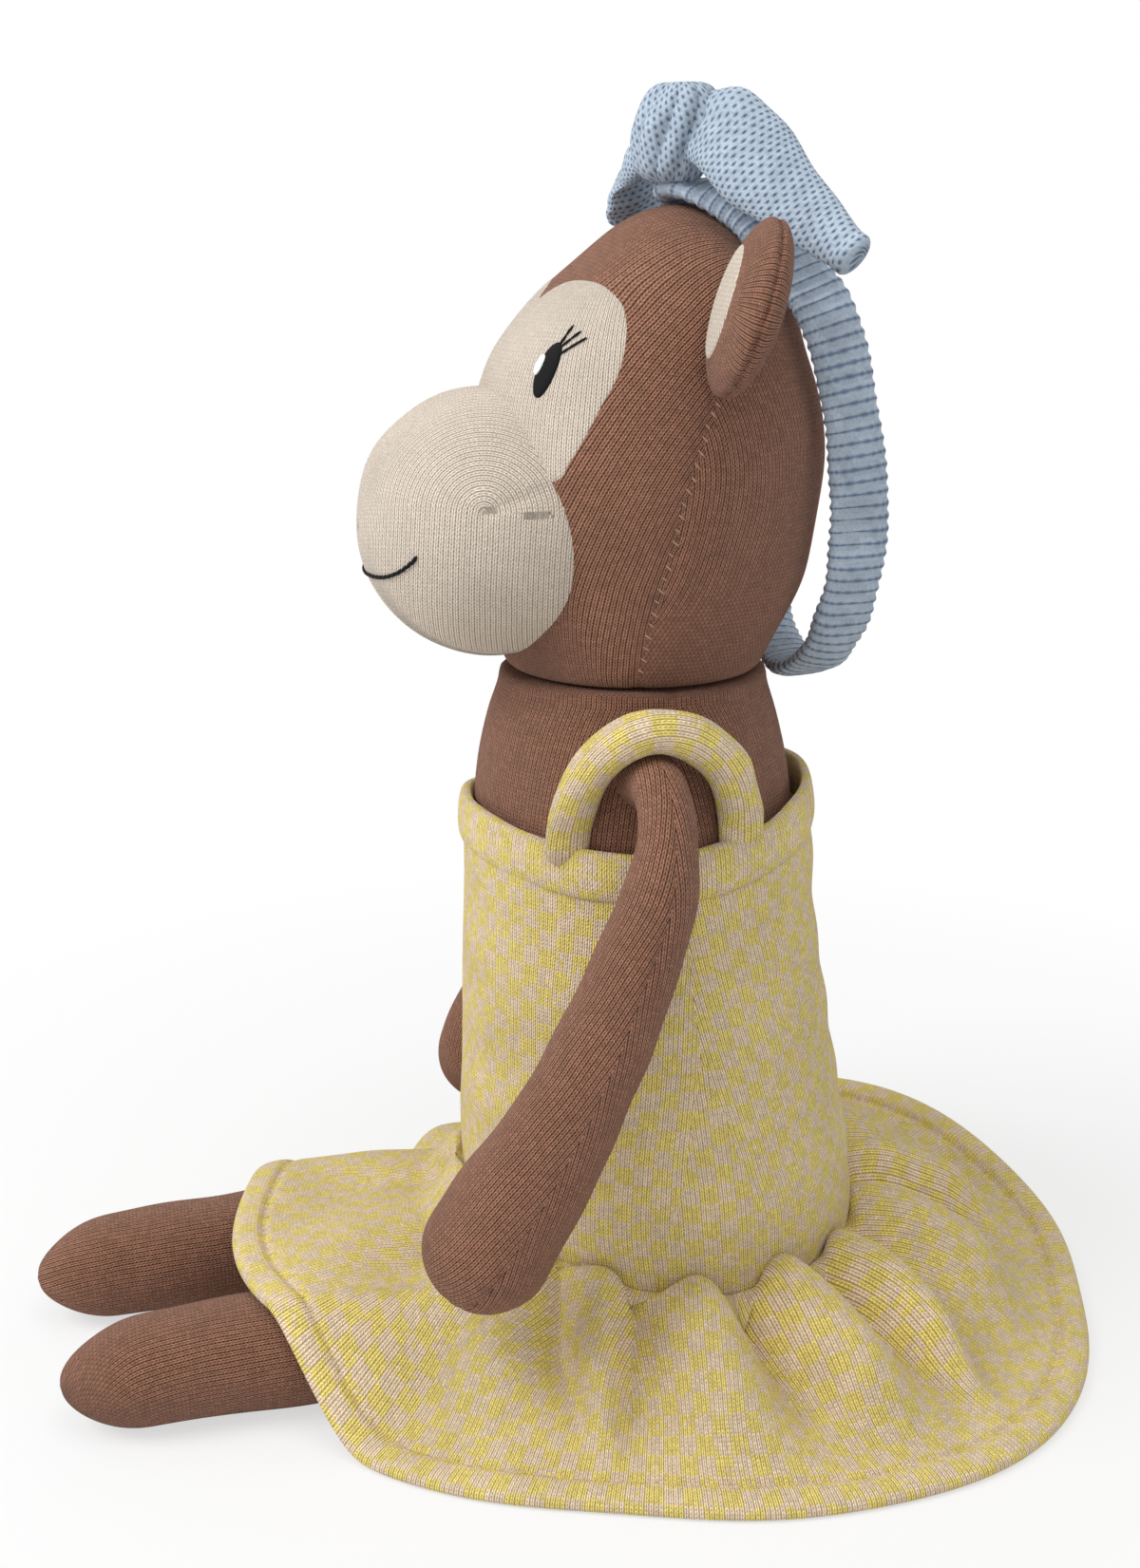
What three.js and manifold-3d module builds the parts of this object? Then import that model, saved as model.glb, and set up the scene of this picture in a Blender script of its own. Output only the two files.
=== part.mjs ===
// A knitted monkey doll that sits on the floor, in a sleeveless dress, with a band and a bow on its head.
// Millimetres, +Z up. The doll faces -Y, so its own left side is +X.
// The origin is the middle of the flat seat, on the surface that the doll sits on.
import * as THREE from 'three';
import Module from 'manifold-3d';

// Clearance between touching pieces, and the flats that the doll rests on.
const gap = 0.3;
const flatDepth = 0.5;

// Torso: a stuffed tube, widest at the belly, that leans forward to the neck.
const neckHeight = 204;
const neckRadius = 36.8;
const shoulderHeight = 176;
const shoulderRadius = 44.5;
const chestHeight = 140;
const chestRadius = 48;
const bellyHeight = 50;
const bellyRadius = 56;
const seatRadius = 38;
const lean = 12;

// Head: its height is from the neck seam to the crown, and its widest level is also from the neck seam.
const headHeight = 126;
const headWidth = 100;
const headDepth = 98;
const headBaseRadius = 35.5;
const headWidestLevel = 58;
const headSetback = 4; // the head's middle lies this far behind the neck's middle
const crownSetback = 8; // and the crown lies this far behind the head's middle
const foreheadLevel = 85; // from here to the crown's edge the head runs back
const crownLevel = 120;

// Muzzle: a round bulb on the lower face.
const muzzleRadius = 37;
const muzzleLevel = 42; // its middle above the neck seam
const muzzleDome = 38; // length of its rounded end
const muzzleReach = 82; // from the head's middle to its tip

// Face patch: a heart with a point down at the brow.
const patchThickness = 1.6;
const patchPeakLevel = 103;
const patchLobeLevel = 107.5;
const patchLobeOffset = 20;
const patchHalfWidth = 40.6;
const patchWidestLevel = 80;
const patchFootHalfWidth = 33;
const patchFootLevel = 54;

// Ears: flat padded discs that face forward, with a smaller lining on the front.
const earOffset = 57;
const earLevel = 101;
const earHalfWidth = 22;
const earHalfHeight = 23;
const earThickness = 12;
const earTilt = 14; // degrees, its top leans back
const earSetback = 5; // behind the head's middle
const liningShare = 0.6;
const liningProud = 1.6;

// Arms: they hang from a short root under the strap, and widen to the hand.
const shoulderPivotLevel = 181;
const shoulderPivotForward = 20;
const armRootRadius = 10;
const handRadius = 18;
const armReach = 62; // forward, from the pivot to the fingertip
const armDrop = 132; // down, from the pivot to the fingertip
const rightArmLag = 15; // degrees, the right arm hangs this much straighter
const handClearance = 4; // between a hand and the skirt that it rests on

// Legs: a flat flap without stuffing is sewn to the torso, and the round leg folds at the flap's edge.
const legSpacing = 60;
const legRadius = 16.5;
const toeRadius = 14;
const legLength = 132; // from the fold to the tip of the toe
const legShrink = 0.97; // the leg narrows to this share before the toe
const hipHalfWidth = 15.5;
const hipHalfThickness = 6; // of the leg, at the fold
const flapLength = 5; // from the torso's front to the fold
const flapHalfThickness = 1.8;
const foldRadius = 4;

// Dress: a bodice with a doubled neckline band, two rolled straps and a gathered skirt.
const cloth = 3;
const necklineLevel = 170;
const necklineSideDip = 8;
const necklineBackRise = 3;
const bandHeight = 14;
const bandExtra = 1.2;
const bodiceEase = 2;
const waistLevel = 33;
const waistLapRise = 15;
const strapHalfWidth = 5.4;
const strapHalfThickness = 4;
const strapSpread = 59; // degrees round the neckline between its feet
const strapTurn = -8; // degrees, the middle of a strap is this far to the front
const skirtHemSide = 120;
const skirtHemDepth = 135;
const hemSwing = 13; // the hem spreads wider behind the hips than before them
const skirtFolds = 12;
const foldHeight = 2.2;
const seamTuck = 0.4; // the skirt's top edge is tucked this far under the waist seam
const gatherReach = 5; // the gathers rise over this distance from the seam
const gatherHeight = 1;
// Where the skirt falls from the gathers to the hem: shares of its reach and of the waist's level.
const skirtFallShares = [
  [0.27, 0.98],
  [0.5, 0.68],
  [0.74, 0.34],
];
const hemTurn = 0.6; // the hem's lower edge is rounded by this much
const lapMargin = 2; // the skirt's cloth lies this far over and beside the legs
const lapShoulder = 12; // the lap begins to slope down this far inside the leg's outer side
const lapFade = 38;

// Headband: a loose loop over the crown, behind the ears and under the nape, with a bow on top.
const headbandWidth = 16;
const headbandThickness = 5;
const knotSetback = 7; // behind the head's middle
const knotHeight = 26;
const knotRadius = 12.5;
const bowTurn = 20; // degrees about the vertical
const bowLoopLength = 60;
const rightLoopShare = 0.72; // the right loop is shorter than the left
const bowLoopWidth = 22;
const bowLoopThickness = 8;

// Facets round each form.
const sidesOfBody = 28;
const sidesOfLimb = 16;
const sidesOfEar = 20;
const sidesOfDress = 40;
const sidesOfSkirt = 60;
const sidesOfStrap = 10;
const sidesOfBand = 8;
const sidesOfKnot = 16;
const sidesOfLoop = 12;

const brown = { color: 0x7c5c4e, roughness: 0.95, metalness: 0 };
const cream = { color: 0xcfc6b6, roughness: 0.95, metalness: 0 };
const yellow = { color: 0xc9a968, roughness: 0.95, metalness: 0 };
const blue = { color: 0x9fb4c8, roughness: 0.95, metalness: 0 };

const wasm = await Module();
wasm.setup();
const up = new THREE.Vector3(0, 0, 1);
const radians = THREE.MathUtils.degToRad;

// A closed geometry from points and triangles, turned so that its faces point out.
function closedGeometry(points, faces) {
  let volume = 0;
  for (const [a, b, c] of faces) {
    volume += points[a].dot(points[b].clone().cross(points[c]));
  }
  const outward = volume < 0 ? faces.map(([a, b, c]) => [a, c, b]) : faces;
  const geometry = new THREE.BufferGeometry();
  geometry.setFromPoints(points);
  geometry.setIndex(outward.flat());
  return geometry;
}

// A body through rings of points. Its two ends close on the given tip points.
function loft(rings, startTip, endTip) {
  const count = rings[0].length;
  const points = [...rings.flat(), startTip, endTip];
  const start = points.length - 2;
  const end = points.length - 1;
  const last = (rings.length - 1) * count;
  const faces = [];
  for (let side = 0; side < count; side++) {
    const next = (side + 1) % count;
    for (let ring = 0; ring < last; ring += count) {
      faces.push([ring + side, ring + next, ring + count + next]);
      faces.push([ring + side, ring + count + next, ring + count + side]);
    }
    faces.push([start, next, side]);
    faces.push([end, last + side, last + next]);
  }
  return closedGeometry(points, faces);
}

// A band that goes right round: each section is a closed outline, and the last joins the first.
function loop(sections) {
  const count = sections[0].length;
  const points = sections.flat();
  const faces = [];
  for (let section = 0; section < sections.length; section++) {
    const here = section * count;
    const there = ((section + 1) % sections.length) * count;
    for (let side = 0; side < count; side++) {
      const next = (side + 1) % count;
      faces.push([here + side, here + next, there + next]);
      faces.push([here + side, there + next, there + side]);
    }
  }
  return closedGeometry(points, faces);
}

// A turned form about +Z through (radius, height) stations. A radius of 0 at an end is a tip.
function turned(stations, sides, centreAt = () => 0, depthShare = 1) {
  const rings = [];
  for (const { x: radius, y: height } of stations.filter((station) => station.x > 0)) {
    const ring = [];
    for (let side = 0; side < sides; side++) {
      const angle = (2 * Math.PI * side) / sides;
      const across = radius * Math.cos(angle);
      const along = radius * depthShare * Math.sin(angle);
      ring.push(new THREE.Vector3(across, centreAt(height) + along, height));
    }
    rings.push(ring);
  }
  const low = stations[0].y;
  const high = stations[stations.length - 1].y;
  return loft(rings, new THREE.Vector3(0, centreAt(low), low), new THREE.Vector3(0, centreAt(high), high));
}

// A stuffed limb along a curve, with rounded ends. halfAt gives the half width and half height
// at a share of its length, and the width lies along the given side direction.
function limb(curve, halfAt, sides, steps, sideways) {
  const length = curve.getLength();
  const roundSteps = 4;
  const shares = [];
  const startRound = halfAt(0)[1] / length;
  const endRound = halfAt(1)[1] / length;
  for (let step = 1; step < roundSteps; step++) {
    shares.push(startRound * (1 - Math.cos((Math.PI * step) / (2 * roundSteps))));
  }
  for (let step = 0; step <= steps; step++) {
    shares.push(THREE.MathUtils.lerp(startRound, 1 - endRound, step / steps));
  }
  for (let step = roundSteps - 1; step > 0; step--) {
    shares.push(1 - endRound * (1 - Math.cos((Math.PI * step) / (2 * roundSteps))));
  }
  const rings = shares.map((share) => {
    const middle = curve.getPointAt(share);
    const along = curve.getTangentAt(share);
    const across = sideways.clone().addScaledVector(along, -sideways.dot(along)).normalize();
    const over = new THREE.Vector3().crossVectors(along, across);
    const inEnd = Math.min(share / startRound, (1 - share) / endRound, 1);
    const shrink = Math.sqrt(1 - (1 - inEnd) ** 2);
    const [half, high] = halfAt(share);
    const ring = [];
    for (let side = 0; side < sides; side++) {
      const angle = (2 * Math.PI * side) / sides;
      const point = middle.clone().addScaledVector(across, shrink * half * Math.cos(angle));
      ring.push(point.addScaledVector(over, shrink * high * Math.sin(angle)));
    }
    return ring;
  });
  return loft(rings, curve.getPointAt(0), curve.getPointAt(1));
}

// A smooth value between stations, each [position, value].
function smooth(stations) {
  const positions = stations.map(([position]) => position);
  const values = stations.map(([, value]) => value);
  const interpolant = new THREE.CubicInterpolant(positions, values, 1);
  return (position) => interpolant.evaluate(position)[0];
}

// The geometry as a solid for cutting and joining.
function toSolid(geometry) {
  const vertProperties = new Float32Array(geometry.attributes.position.array);
  const triVerts = new Uint32Array(geometry.index.array);
  return new wasm.Manifold(new wasm.Mesh({ numProp: 3, vertProperties, triVerts }));
}

function toGeometry(solid) {
  const mesh = solid.getMesh();
  const geometry = new THREE.BufferGeometry();
  geometry.setAttribute('position', new THREE.BufferAttribute(mesh.vertProperties, 3));
  geometry.setIndex(new THREE.BufferAttribute(mesh.triVerts, 1));
  return geometry;
}

function cut(geometry, ...cutters) {
  const solids = cutters.map(toSolid);
  return toGeometry(solids.reduce((rest, cutter) => rest.subtract(cutter), toSolid(geometry)));
}

function join(geometry, ...others) {
  return toGeometry(others.map(toSolid).reduce((whole, other) => whole.add(other), toSolid(geometry)));
}

function common(geometry, other) {
  return toGeometry(toSolid(geometry).intersect(toSolid(other)));
}

// A block of ground under the floor, which cuts a form flat where it rests.
function ground() {
  const size = 800;
  const block = new THREE.BoxGeometry(size, size, size);
  block.translate(0, 0, -size / 2);
  return merged(block);
}

// The box and prism classes repeat their corners, so the same points are shared here.
function merged(geometry) {
  const source = geometry.index ? geometry.toNonIndexed() : geometry;
  const position = source.attributes.position;
  const places = new Map();
  const points = [];
  const corners = [];
  for (let index = 0; index < position.count; index++) {
    const point = new THREE.Vector3().fromBufferAttribute(position, index);
    const key = point.toArray().map((value) => value.toFixed(4)).join(' ');
    if (!places.has(key)) {
      places.set(key, points.length);
      points.push(point);
    }
    corners.push(places.get(key));
  }
  const faces = [];
  for (let corner = 0; corner < corners.length; corner += 3) {
    const face = corners.slice(corner, corner + 3);
    if (new Set(face).size === 3) {
      faces.push(face);
    }
  }
  return closedGeometry(points, faces);
}

const doll = new THREE.Group();

function addPiece(name, geometry, finish, parent = doll) {
  const mesh = new THREE.Mesh(geometry, new THREE.MeshStandardMaterial(finish));
  mesh.name = name;
  parent.add(mesh);
  return mesh;
}

// Torso
const torsoRadiusAt = smooth([
  [-2, seatRadius],
  [bellyHeight * 0.2, bellyRadius * 0.9],
  [bellyHeight, bellyRadius],
  [(bellyHeight + chestHeight) / 2, (bellyRadius + chestRadius) / 2],
  [chestHeight, chestRadius],
  [shoulderHeight, shoulderRadius],
  [neckHeight, neckRadius],
]);
const leanAt = (height) => -lean * THREE.MathUtils.smoothstep(height, 0, shoulderHeight);

// Hips: the fold lines of the two legs lie at this height, this far to the front of the origin.
const legMiddle = legRadius - flatDepth;
const hipInner = legSpacing / 2 - hipHalfWidth;
const hipFold = Math.sqrt(torsoRadiusAt(legMiddle) ** 2 - hipInner ** 2) - leanAt(legMiddle) + flapLength;

// The flap that a leg is sewn to: flat cloth from inside the torso, with a round edge at the fold.
function hipFlap(side) {
  const profile = new THREE.Shape();
  const edge = Math.asin(flapHalfThickness / foldRadius);
  profile.moveTo(hipFold / 2, -flapHalfThickness);
  profile.absarc(hipFold, 0, foldRadius, Math.PI + edge, 3 * Math.PI - edge, false);
  profile.lineTo(hipFold / 2, flapHalfThickness);
  const flap = new THREE.ExtrudeGeometry(profile, { depth: 2 * hipHalfWidth, bevelEnabled: false, curveSegments: 9 });
  flap.rotateX(Math.PI / 2).rotateZ(-Math.PI / 2);
  return merged(flap.translate(side * (legSpacing / 2) + hipHalfWidth, 0, legMiddle));
}

function torsoGeometry() {
  const rings = 13;
  const stations = [];
  for (let ring = 0; ring <= rings; ring++) {
    const share = ring / rings;
    const height = THREE.MathUtils.lerp(-flatDepth, neckHeight, share ** 1.2);
    stations.push(new THREE.Vector2(torsoRadiusAt(height), height));
  }
  const body = cut(turned(stations, sidesOfBody, leanAt), ground());
  return join(body, hipFlap(1), hipFlap(-1));
}

// Head, with its middle line a little behind the neck's.
const headBase = neckHeight + gap;
const headMiddle = -lean + headSetback;
const headRadius = headWidth / 2;

function headGeometry(grow) {
  const lowSteps = 5;
  const highSteps = 9;
  const lowPower = 1.7;
  const highPower = 1.85;
  const widest = headRadius + grow;
  const base = headBaseRadius + grow;
  const stations = [];
  for (let step = 0; step < lowSteps; step++) {
    const below = 1 - step / lowSteps;
    const radius = base + (widest - base) * (1 - below ** lowPower);
    stations.push(new THREE.Vector2(radius, headWidestLevel * (1 - below)));
  }
  const domeHeight = headHeight - headWidestLevel + grow;
  for (let step = 0; step <= highSteps; step++) {
    const above = Math.sin((Math.PI * step) / (2 * highSteps));
    const radius = step === highSteps ? 0 : widest * (1 - above ** highPower) ** (1 / highPower);
    stations.push(new THREE.Vector2(radius, headWidestLevel + domeHeight * above));
  }
  const runBack = (level) => crownSetback * THREE.MathUtils.smoothstep(level, foreheadLevel, crownLevel);
  const geometry = turned(stations, sidesOfBody, runBack, headDepth / headWidth);
  return geometry.translate(0, headMiddle, headBase);
}

// Muzzle, as a whole bulb that runs back into the head.
function muzzleBulb(grow) {
  const domeSteps = 7;
  const power = 2.1;
  const radius = muzzleRadius + grow;
  const domeStart = muzzleReach - muzzleDome;
  const neck = new THREE.Vector2(radius * 0.9, domeStart * 0.3);
  const stations = [neck];
  for (let step = 0; step <= domeSteps; step++) {
    const out = Math.sin((Math.PI * step) / (2 * domeSteps));
    const ring = step === domeSteps ? 0 : radius * (1 - out ** power) ** (1 / power);
    stations.push(new THREE.Vector2(ring, domeStart + (muzzleDome + grow) * out));
  }
  const bulb = turned(stations, sidesOfBody);
  return bulb.rotateX(Math.PI / 2).translate(0, headMiddle, headBase + muzzleLevel);
}

// Face patch: the heart's outline in X and Z, pushed through the front of a thin skin on the head.
function facePatchGeometry() {
  const heart = new THREE.Shape();
  heart.moveTo(0, patchPeakLevel);
  const peakCurve = patchLobeOffset * 0.2;
  const templeCurve = patchHalfWidth * 0.94;
  const cheekCurve = (patchWidestLevel + patchFootLevel) / 2;
  heart.quadraticCurveTo(peakCurve, patchLobeLevel, patchLobeOffset, patchLobeLevel);
  heart.quadraticCurveTo(templeCurve, patchLobeLevel, patchHalfWidth, patchWidestLevel);
  heart.quadraticCurveTo(patchHalfWidth, cheekCurve, patchFootHalfWidth, patchFootLevel);
  heart.lineTo(-patchFootHalfWidth, patchFootLevel);
  heart.quadraticCurveTo(-patchHalfWidth, cheekCurve, -patchHalfWidth, patchWidestLevel);
  heart.quadraticCurveTo(-templeCurve, patchLobeLevel, -patchLobeOffset, patchLobeLevel);
  heart.quadraticCurveTo(-peakCurve, patchLobeLevel, 0, patchPeakLevel);
  const prism = new THREE.ExtrudeGeometry(heart, { depth: headDepth, bevelEnabled: false, curveSegments: 6 });
  prism.rotateX(Math.PI / 2).translate(0, headMiddle, headBase);
  const skin = cut(headGeometry(gap + patchThickness), headGeometry(gap), muzzleBulb(gap));
  return common(skin, merged(prism));
}

// Ears: a flattened round pad, stood up to face forward.
function earPad(share, thickness, forward) {
  const steps = 10;
  const edgePower = 0.6;
  const stations = [];
  for (let step = 0; step <= steps; step++) {
    const angle = (Math.PI * step) / steps;
    const radius = step % steps === 0 ? 0 : Math.sin(angle) ** edgePower;
    stations.push(new THREE.Vector2(radius, -Math.cos(angle) / 2));
  }
  const pad = turned(stations, sidesOfEar);
  pad.scale(earHalfWidth * share, earHalfHeight * share, thickness);
  pad.rotateX(Math.PI / 2);
  return pad.translate(0, -forward, 0);
}

function placeEar(geometry, side) {
  geometry.rotateX(-radians(earTilt));
  return geometry.translate(side * earOffset, headMiddle + earSetback, headBase + earLevel);
}

function addEar(label, side, head) {
  const ear = placeEar(earPad(1, earThickness, 0), side);
  addPiece(`ear_${label}`, cut(ear, headGeometry(gap)), brown, head);
  const lining = placeEar(earPad(liningShare, earThickness, liningProud), side);
  const earAhead = placeEar(earPad(1, earThickness, gap), side);
  addPiece(`ear_lining_${label}`, cut(lining, earAhead, headGeometry(gap)), cream, head);
}

// Dress: heights of the neckline and the waist round the body, by angle from +X toward +Y.
const necklineAt = (angle) => necklineLevel - necklineSideDip * Math.cos(angle) ** 2
  + necklineBackRise * Math.sin(angle);
const waistAt = (angle) => waistLevel + waistLapRise * Math.max(0, -Math.sin(angle)) ** 2;
const easeAt = (height) => bodiceEase * (1 - THREE.MathUtils.smoothstep(height, waistLevel, chestHeight));
const dressInnerAt = (height) => torsoRadiusAt(height) + gap + easeAt(height);

function roundTorso(angle, radius, height) {
  const across = radius * Math.cos(angle);
  return new THREE.Vector3(across, leanAt(height) + radius * Math.sin(angle), height);
}

// A sleeve of cloth round the torso from one height to another.
function sleeve(bottomAt, topAt, thickness, levels) {
  const sections = [];
  for (let side = 0; side < sidesOfDress; side++) {
    const angle = (2 * Math.PI * side) / sidesOfDress;
    const outer = [];
    const inner = [];
    for (let level = 0; level <= levels; level++) {
      const height = THREE.MathUtils.lerp(bottomAt(angle), topAt(angle), level / levels);
      outer.push(roundTorso(angle, dressInnerAt(height) + thickness, height));
      inner.push(roundTorso(angle, dressInnerAt(height), height));
    }
    sections.push([...outer, ...inner.reverse()]);
  }
  return loop(sections);
}

// Strap: a flattened roll that arches over the arm's root, with its feet on the neckline band.
function strapGeometry(side) {
  const steps = 16;
  const shoulder = torsoRadiusAt(necklineLevel - necklineSideDip) + gap + strapHalfThickness;
  const apex = shoulderPivotLevel + armRootRadius + gap + strapHalfWidth;
  const footAngle = Math.asin(strapHalfWidth / shoulder);
  const points = [];
  for (let step = 0; step <= steps; step++) {
    const turn = (Math.PI * step) / steps;
    const angle = radians(strapTurn) - (radians(strapSpread) / 2) * Math.cos(turn);
    const foot = Math.max(necklineAt(angle - footAngle), necklineAt(angle + footAngle)) + gap;
    const middle = new THREE.Vector3(
      side * shoulder * Math.cos(angle),
      leanAt(necklineLevel) + shoulder * Math.sin(angle),
      THREE.MathUtils.lerp(foot, apex, Math.sin(turn)),
    );
    points.push({ middle, radial: new THREE.Vector3(side * Math.cos(angle), Math.sin(angle), 0) });
  }
  const rings = points.map(({ middle, radial }, index) => {
    const before = points[Math.max(index - 1, 0)].middle;
    const after = points[Math.min(index + 1, steps)].middle;
    const isEnd = index === 0 || index === steps;
    const along = isEnd ? up.clone() : after.clone().sub(before).normalize();
    if (index === steps) {
      along.negate();
    }
    const across = radial.clone().addScaledVector(along, -radial.dot(along)).normalize();
    const over = new THREE.Vector3().crossVectors(along, across);
    const ring = [];
    for (let corner = 0; corner < sidesOfStrap; corner++) {
      const angle = (2 * Math.PI * corner) / sidesOfStrap;
      const point = middle.clone().addScaledVector(across, strapHalfThickness * Math.cos(angle));
      ring.push(point.addScaledVector(over, strapHalfWidth * Math.sin(angle)));
    }
    return ring;
  });
  return loft(rings, points[0].middle, points[steps].middle);
}

// How high the skirt's cloth may lie at a place, so that it is pressed down under each hand.
function underHands(x, y) {
  const reach = handRadius + handClearance;
  const heights = [handAt(1, 0), handAt(-1, rightArmLag)].map((hand) => {
    const away = Math.hypot(x - hand.x, y - hand.y);
    return away < reach ? hand.z - Math.sqrt(reach ** 2 - away ** 2) : Infinity;
  });
  return Math.min(...heights);
}

// Skirt: gathered under the bodice, then it falls steeply and flares out to a rolled hem on the floor.
// At the front it lies over the two legs, and it gives way under the hands.
function skirtGeometry() {
  const steps = 8;
  const lapTop = 2 * legRadius - flatDepth + lapMargin;
  const lapHalfWidth = legSpacing / 2 + legRadius + lapMargin - lapShoulder;
  const sections = [];
  for (let side = 0; side < sidesOfSkirt; side++) {
    const angle = (2 * Math.PI * side) / sidesOfSkirt;
    const waist = waistAt(angle) - 2 * gap;
    const inner = dressInnerAt(waist);
    const bodice = inner + cloth;
    const hem = Math.hypot(skirtHemSide * Math.cos(angle), skirtHemDepth * Math.sin(angle))
      + hemSwing * Math.cos(angle) ** 2 * Math.sin(angle);
    const wave = Math.cos(skirtFolds * angle);
    const reach = hem - bodice;
    const line = new THREE.SplineCurve([
      new THREE.Vector2(bodice + 2 * seamTuck, waist - seamTuck),
      new THREE.Vector2(bodice + gatherReach + foldHeight * wave / 2, waist + gatherHeight + foldHeight * wave),
      ...skirtFallShares.map(([out, high]) => (
        new THREE.Vector2(bodice + reach * out, waistLevel * high + foldHeight * wave)
      )),
      new THREE.Vector2(hem + foldHeight * wave, cloth * 0.7),
    ]);
    const outline = line.getSpacedPoints(steps);
    const outer = [new THREE.Vector2(inner + seamTuck / 2, waist - seamTuck), ...outline];
    const under = outline.map((point, index) => {
      const along = line.getTangentAt(index / steps);
      return new THREE.Vector2(point.x - cloth * Math.abs(along.y), point.y - cloth * Math.abs(along.x));
    });
    under[0] = new THREE.Vector2(inner + seamTuck / 2, waist - cloth - 2 * seamTuck);
    under[steps] = new THREE.Vector2(hem - cloth + foldHeight * wave, 0);
    outer.push(new THREE.Vector2(hem - hemTurn + foldHeight * wave, 0));
    const section = [];
    const place = (point, over) => {
      const x = point.x * Math.cos(angle);
      const y = point.x * Math.sin(angle);
      const onLap = y < 0 ? 1 - THREE.MathUtils.smoothstep(Math.abs(x), lapHalfWidth, lapHalfWidth + lapFade) : 0;
      const height = Math.min(Math.max(point.y, onLap * (lapTop + over)), underHands(x, y) - cloth + over);
      section.push(new THREE.Vector3(x, y + leanAt(waist) * Math.max(0, 1 - point.x / hem), height));
    };
    outer.forEach((point) => place(point, cloth));
    under.reverse().forEach((point) => place(point, 0));
    sections.push(section);
  }
  return loop(sections);
}

// Arm: its root points sideways through the strap's arch, and the limb hangs outside the dress.
const shoulderPivot = new THREE.Vector3(0, -shoulderPivotForward, shoulderPivotLevel);
const strapOuter = torsoRadiusAt(necklineLevel - necklineSideDip) + 2 * (gap + strapHalfThickness);

// The middle of a hand's round end, for an arm that hangs back by the given angle.
function handAt(side, lag) {
  const share = 1 - handRadius / Math.hypot(armReach, armDrop);
  const hand = new THREE.Vector3(0, -armReach * share, -armDrop * share);
  hand.applyAxisAngle(new THREE.Vector3(1, 0, 0), radians(lag)).add(shoulderPivot);
  hand.x = side * (strapOuter + gap + handRadius);
  return hand;
}

function armGeometry(side, lag) {
  const rootStart = torsoRadiusAt(shoulderPivotLevel - armRootRadius) + gap;
  const radiusAt = smooth([
    [0, armRootRadius],
    [0.25, armRootRadius],
    [0.45, THREE.MathUtils.lerp(armRootRadius, handRadius, 0.25)],
    [0.65, THREE.MathUtils.lerp(armRootRadius, handRadius, 0.5)],
    [0.85, THREE.MathUtils.lerp(armRootRadius, handRadius, 0.95)],
    [1, handRadius],
  ]);
  // Shares of the reach and the drop. Down the limb, its inner side stays just outside the strap.
  const bends = [
    [0.03, 0.12],
    [0.14, 0.3],
    [0.44, 0.6],
    [0.74, 0.82],
    [1, 1],
  ];
  const inRoot = [rootStart - armRootRadius, strapOuter].map((across) => new THREE.Vector3(
    side * across,
    shoulderPivot.y,
    shoulderPivot.z,
  ));
  const outwardPower = 1.3;
  const hanging = bends.map(([forward, down]) => new THREE.Vector3(
    side * (strapOuter + gap + THREE.MathUtils.lerp(armRootRadius, handRadius, down ** outwardPower)),
    shoulderPivot.y - armReach * forward,
    shoulderPivot.z - armDrop * down,
  ));
  const whole = limb(
    new THREE.CatmullRomCurve3([...inRoot, ...hanging]),
    (share) => [radiusAt(share), radiusAt(share)],
    sidesOfLimb,
    12,
    new THREE.Vector3(0, 1, 0),
  );
  const inside = new THREE.BoxGeometry(2 * rootStart, 2 * armDrop, 2 * armDrop);
  const arm = cut(whole, merged(inside.translate(0, shoulderPivot.y, shoulderPivot.z)));
  arm.translate(0, -shoulderPivot.y, -shoulderPivot.z).rotateX(radians(lag));
  return arm.translate(0, shoulderPivot.y, shoulderPivot.z);
}

// Leg: its root is hollowed round the flap's edge, so that it turns about the fold.
function legGeometry(side) {
  const tallAt = smooth([
    [0, hipHalfThickness],
    [0.12, hipHalfThickness * 2],
    [0.3, legRadius],
    [0.8, legRadius * legShrink],
    [1, toeRadius],
  ]);
  const wideAt = smooth([
    [0, hipHalfWidth],
    [0.3, legRadius],
    [0.8, legRadius * legShrink],
    [1, toeRadius],
  ]);
  const x = side * (legSpacing / 2);
  const curve = new THREE.CatmullRomCurve3([
    new THREE.Vector3(x, -hipFold - foldRadius / 2, legMiddle),
    new THREE.Vector3(x, -hipFold - legLength * 0.4, legMiddle),
    new THREE.Vector3(x, -hipFold - legLength * 0.7, legMiddle - flatDepth),
    new THREE.Vector3(x, -hipFold - legLength, toeRadius - flatDepth),
  ]);
  const halfAt = (share) => [wideAt(share), tallAt(share)];
  const whole = limb(curve, halfAt, sidesOfLimb, 9, new THREE.Vector3(1, 0, 0));
  const hollow = new THREE.CylinderGeometry(foldRadius + gap, foldRadius + gap, 4 * hipHalfWidth, 24);
  hollow.rotateZ(Math.PI / 2).translate(x, -hipFold, legMiddle);
  return cut(whole, merged(hollow), ground());
}

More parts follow.
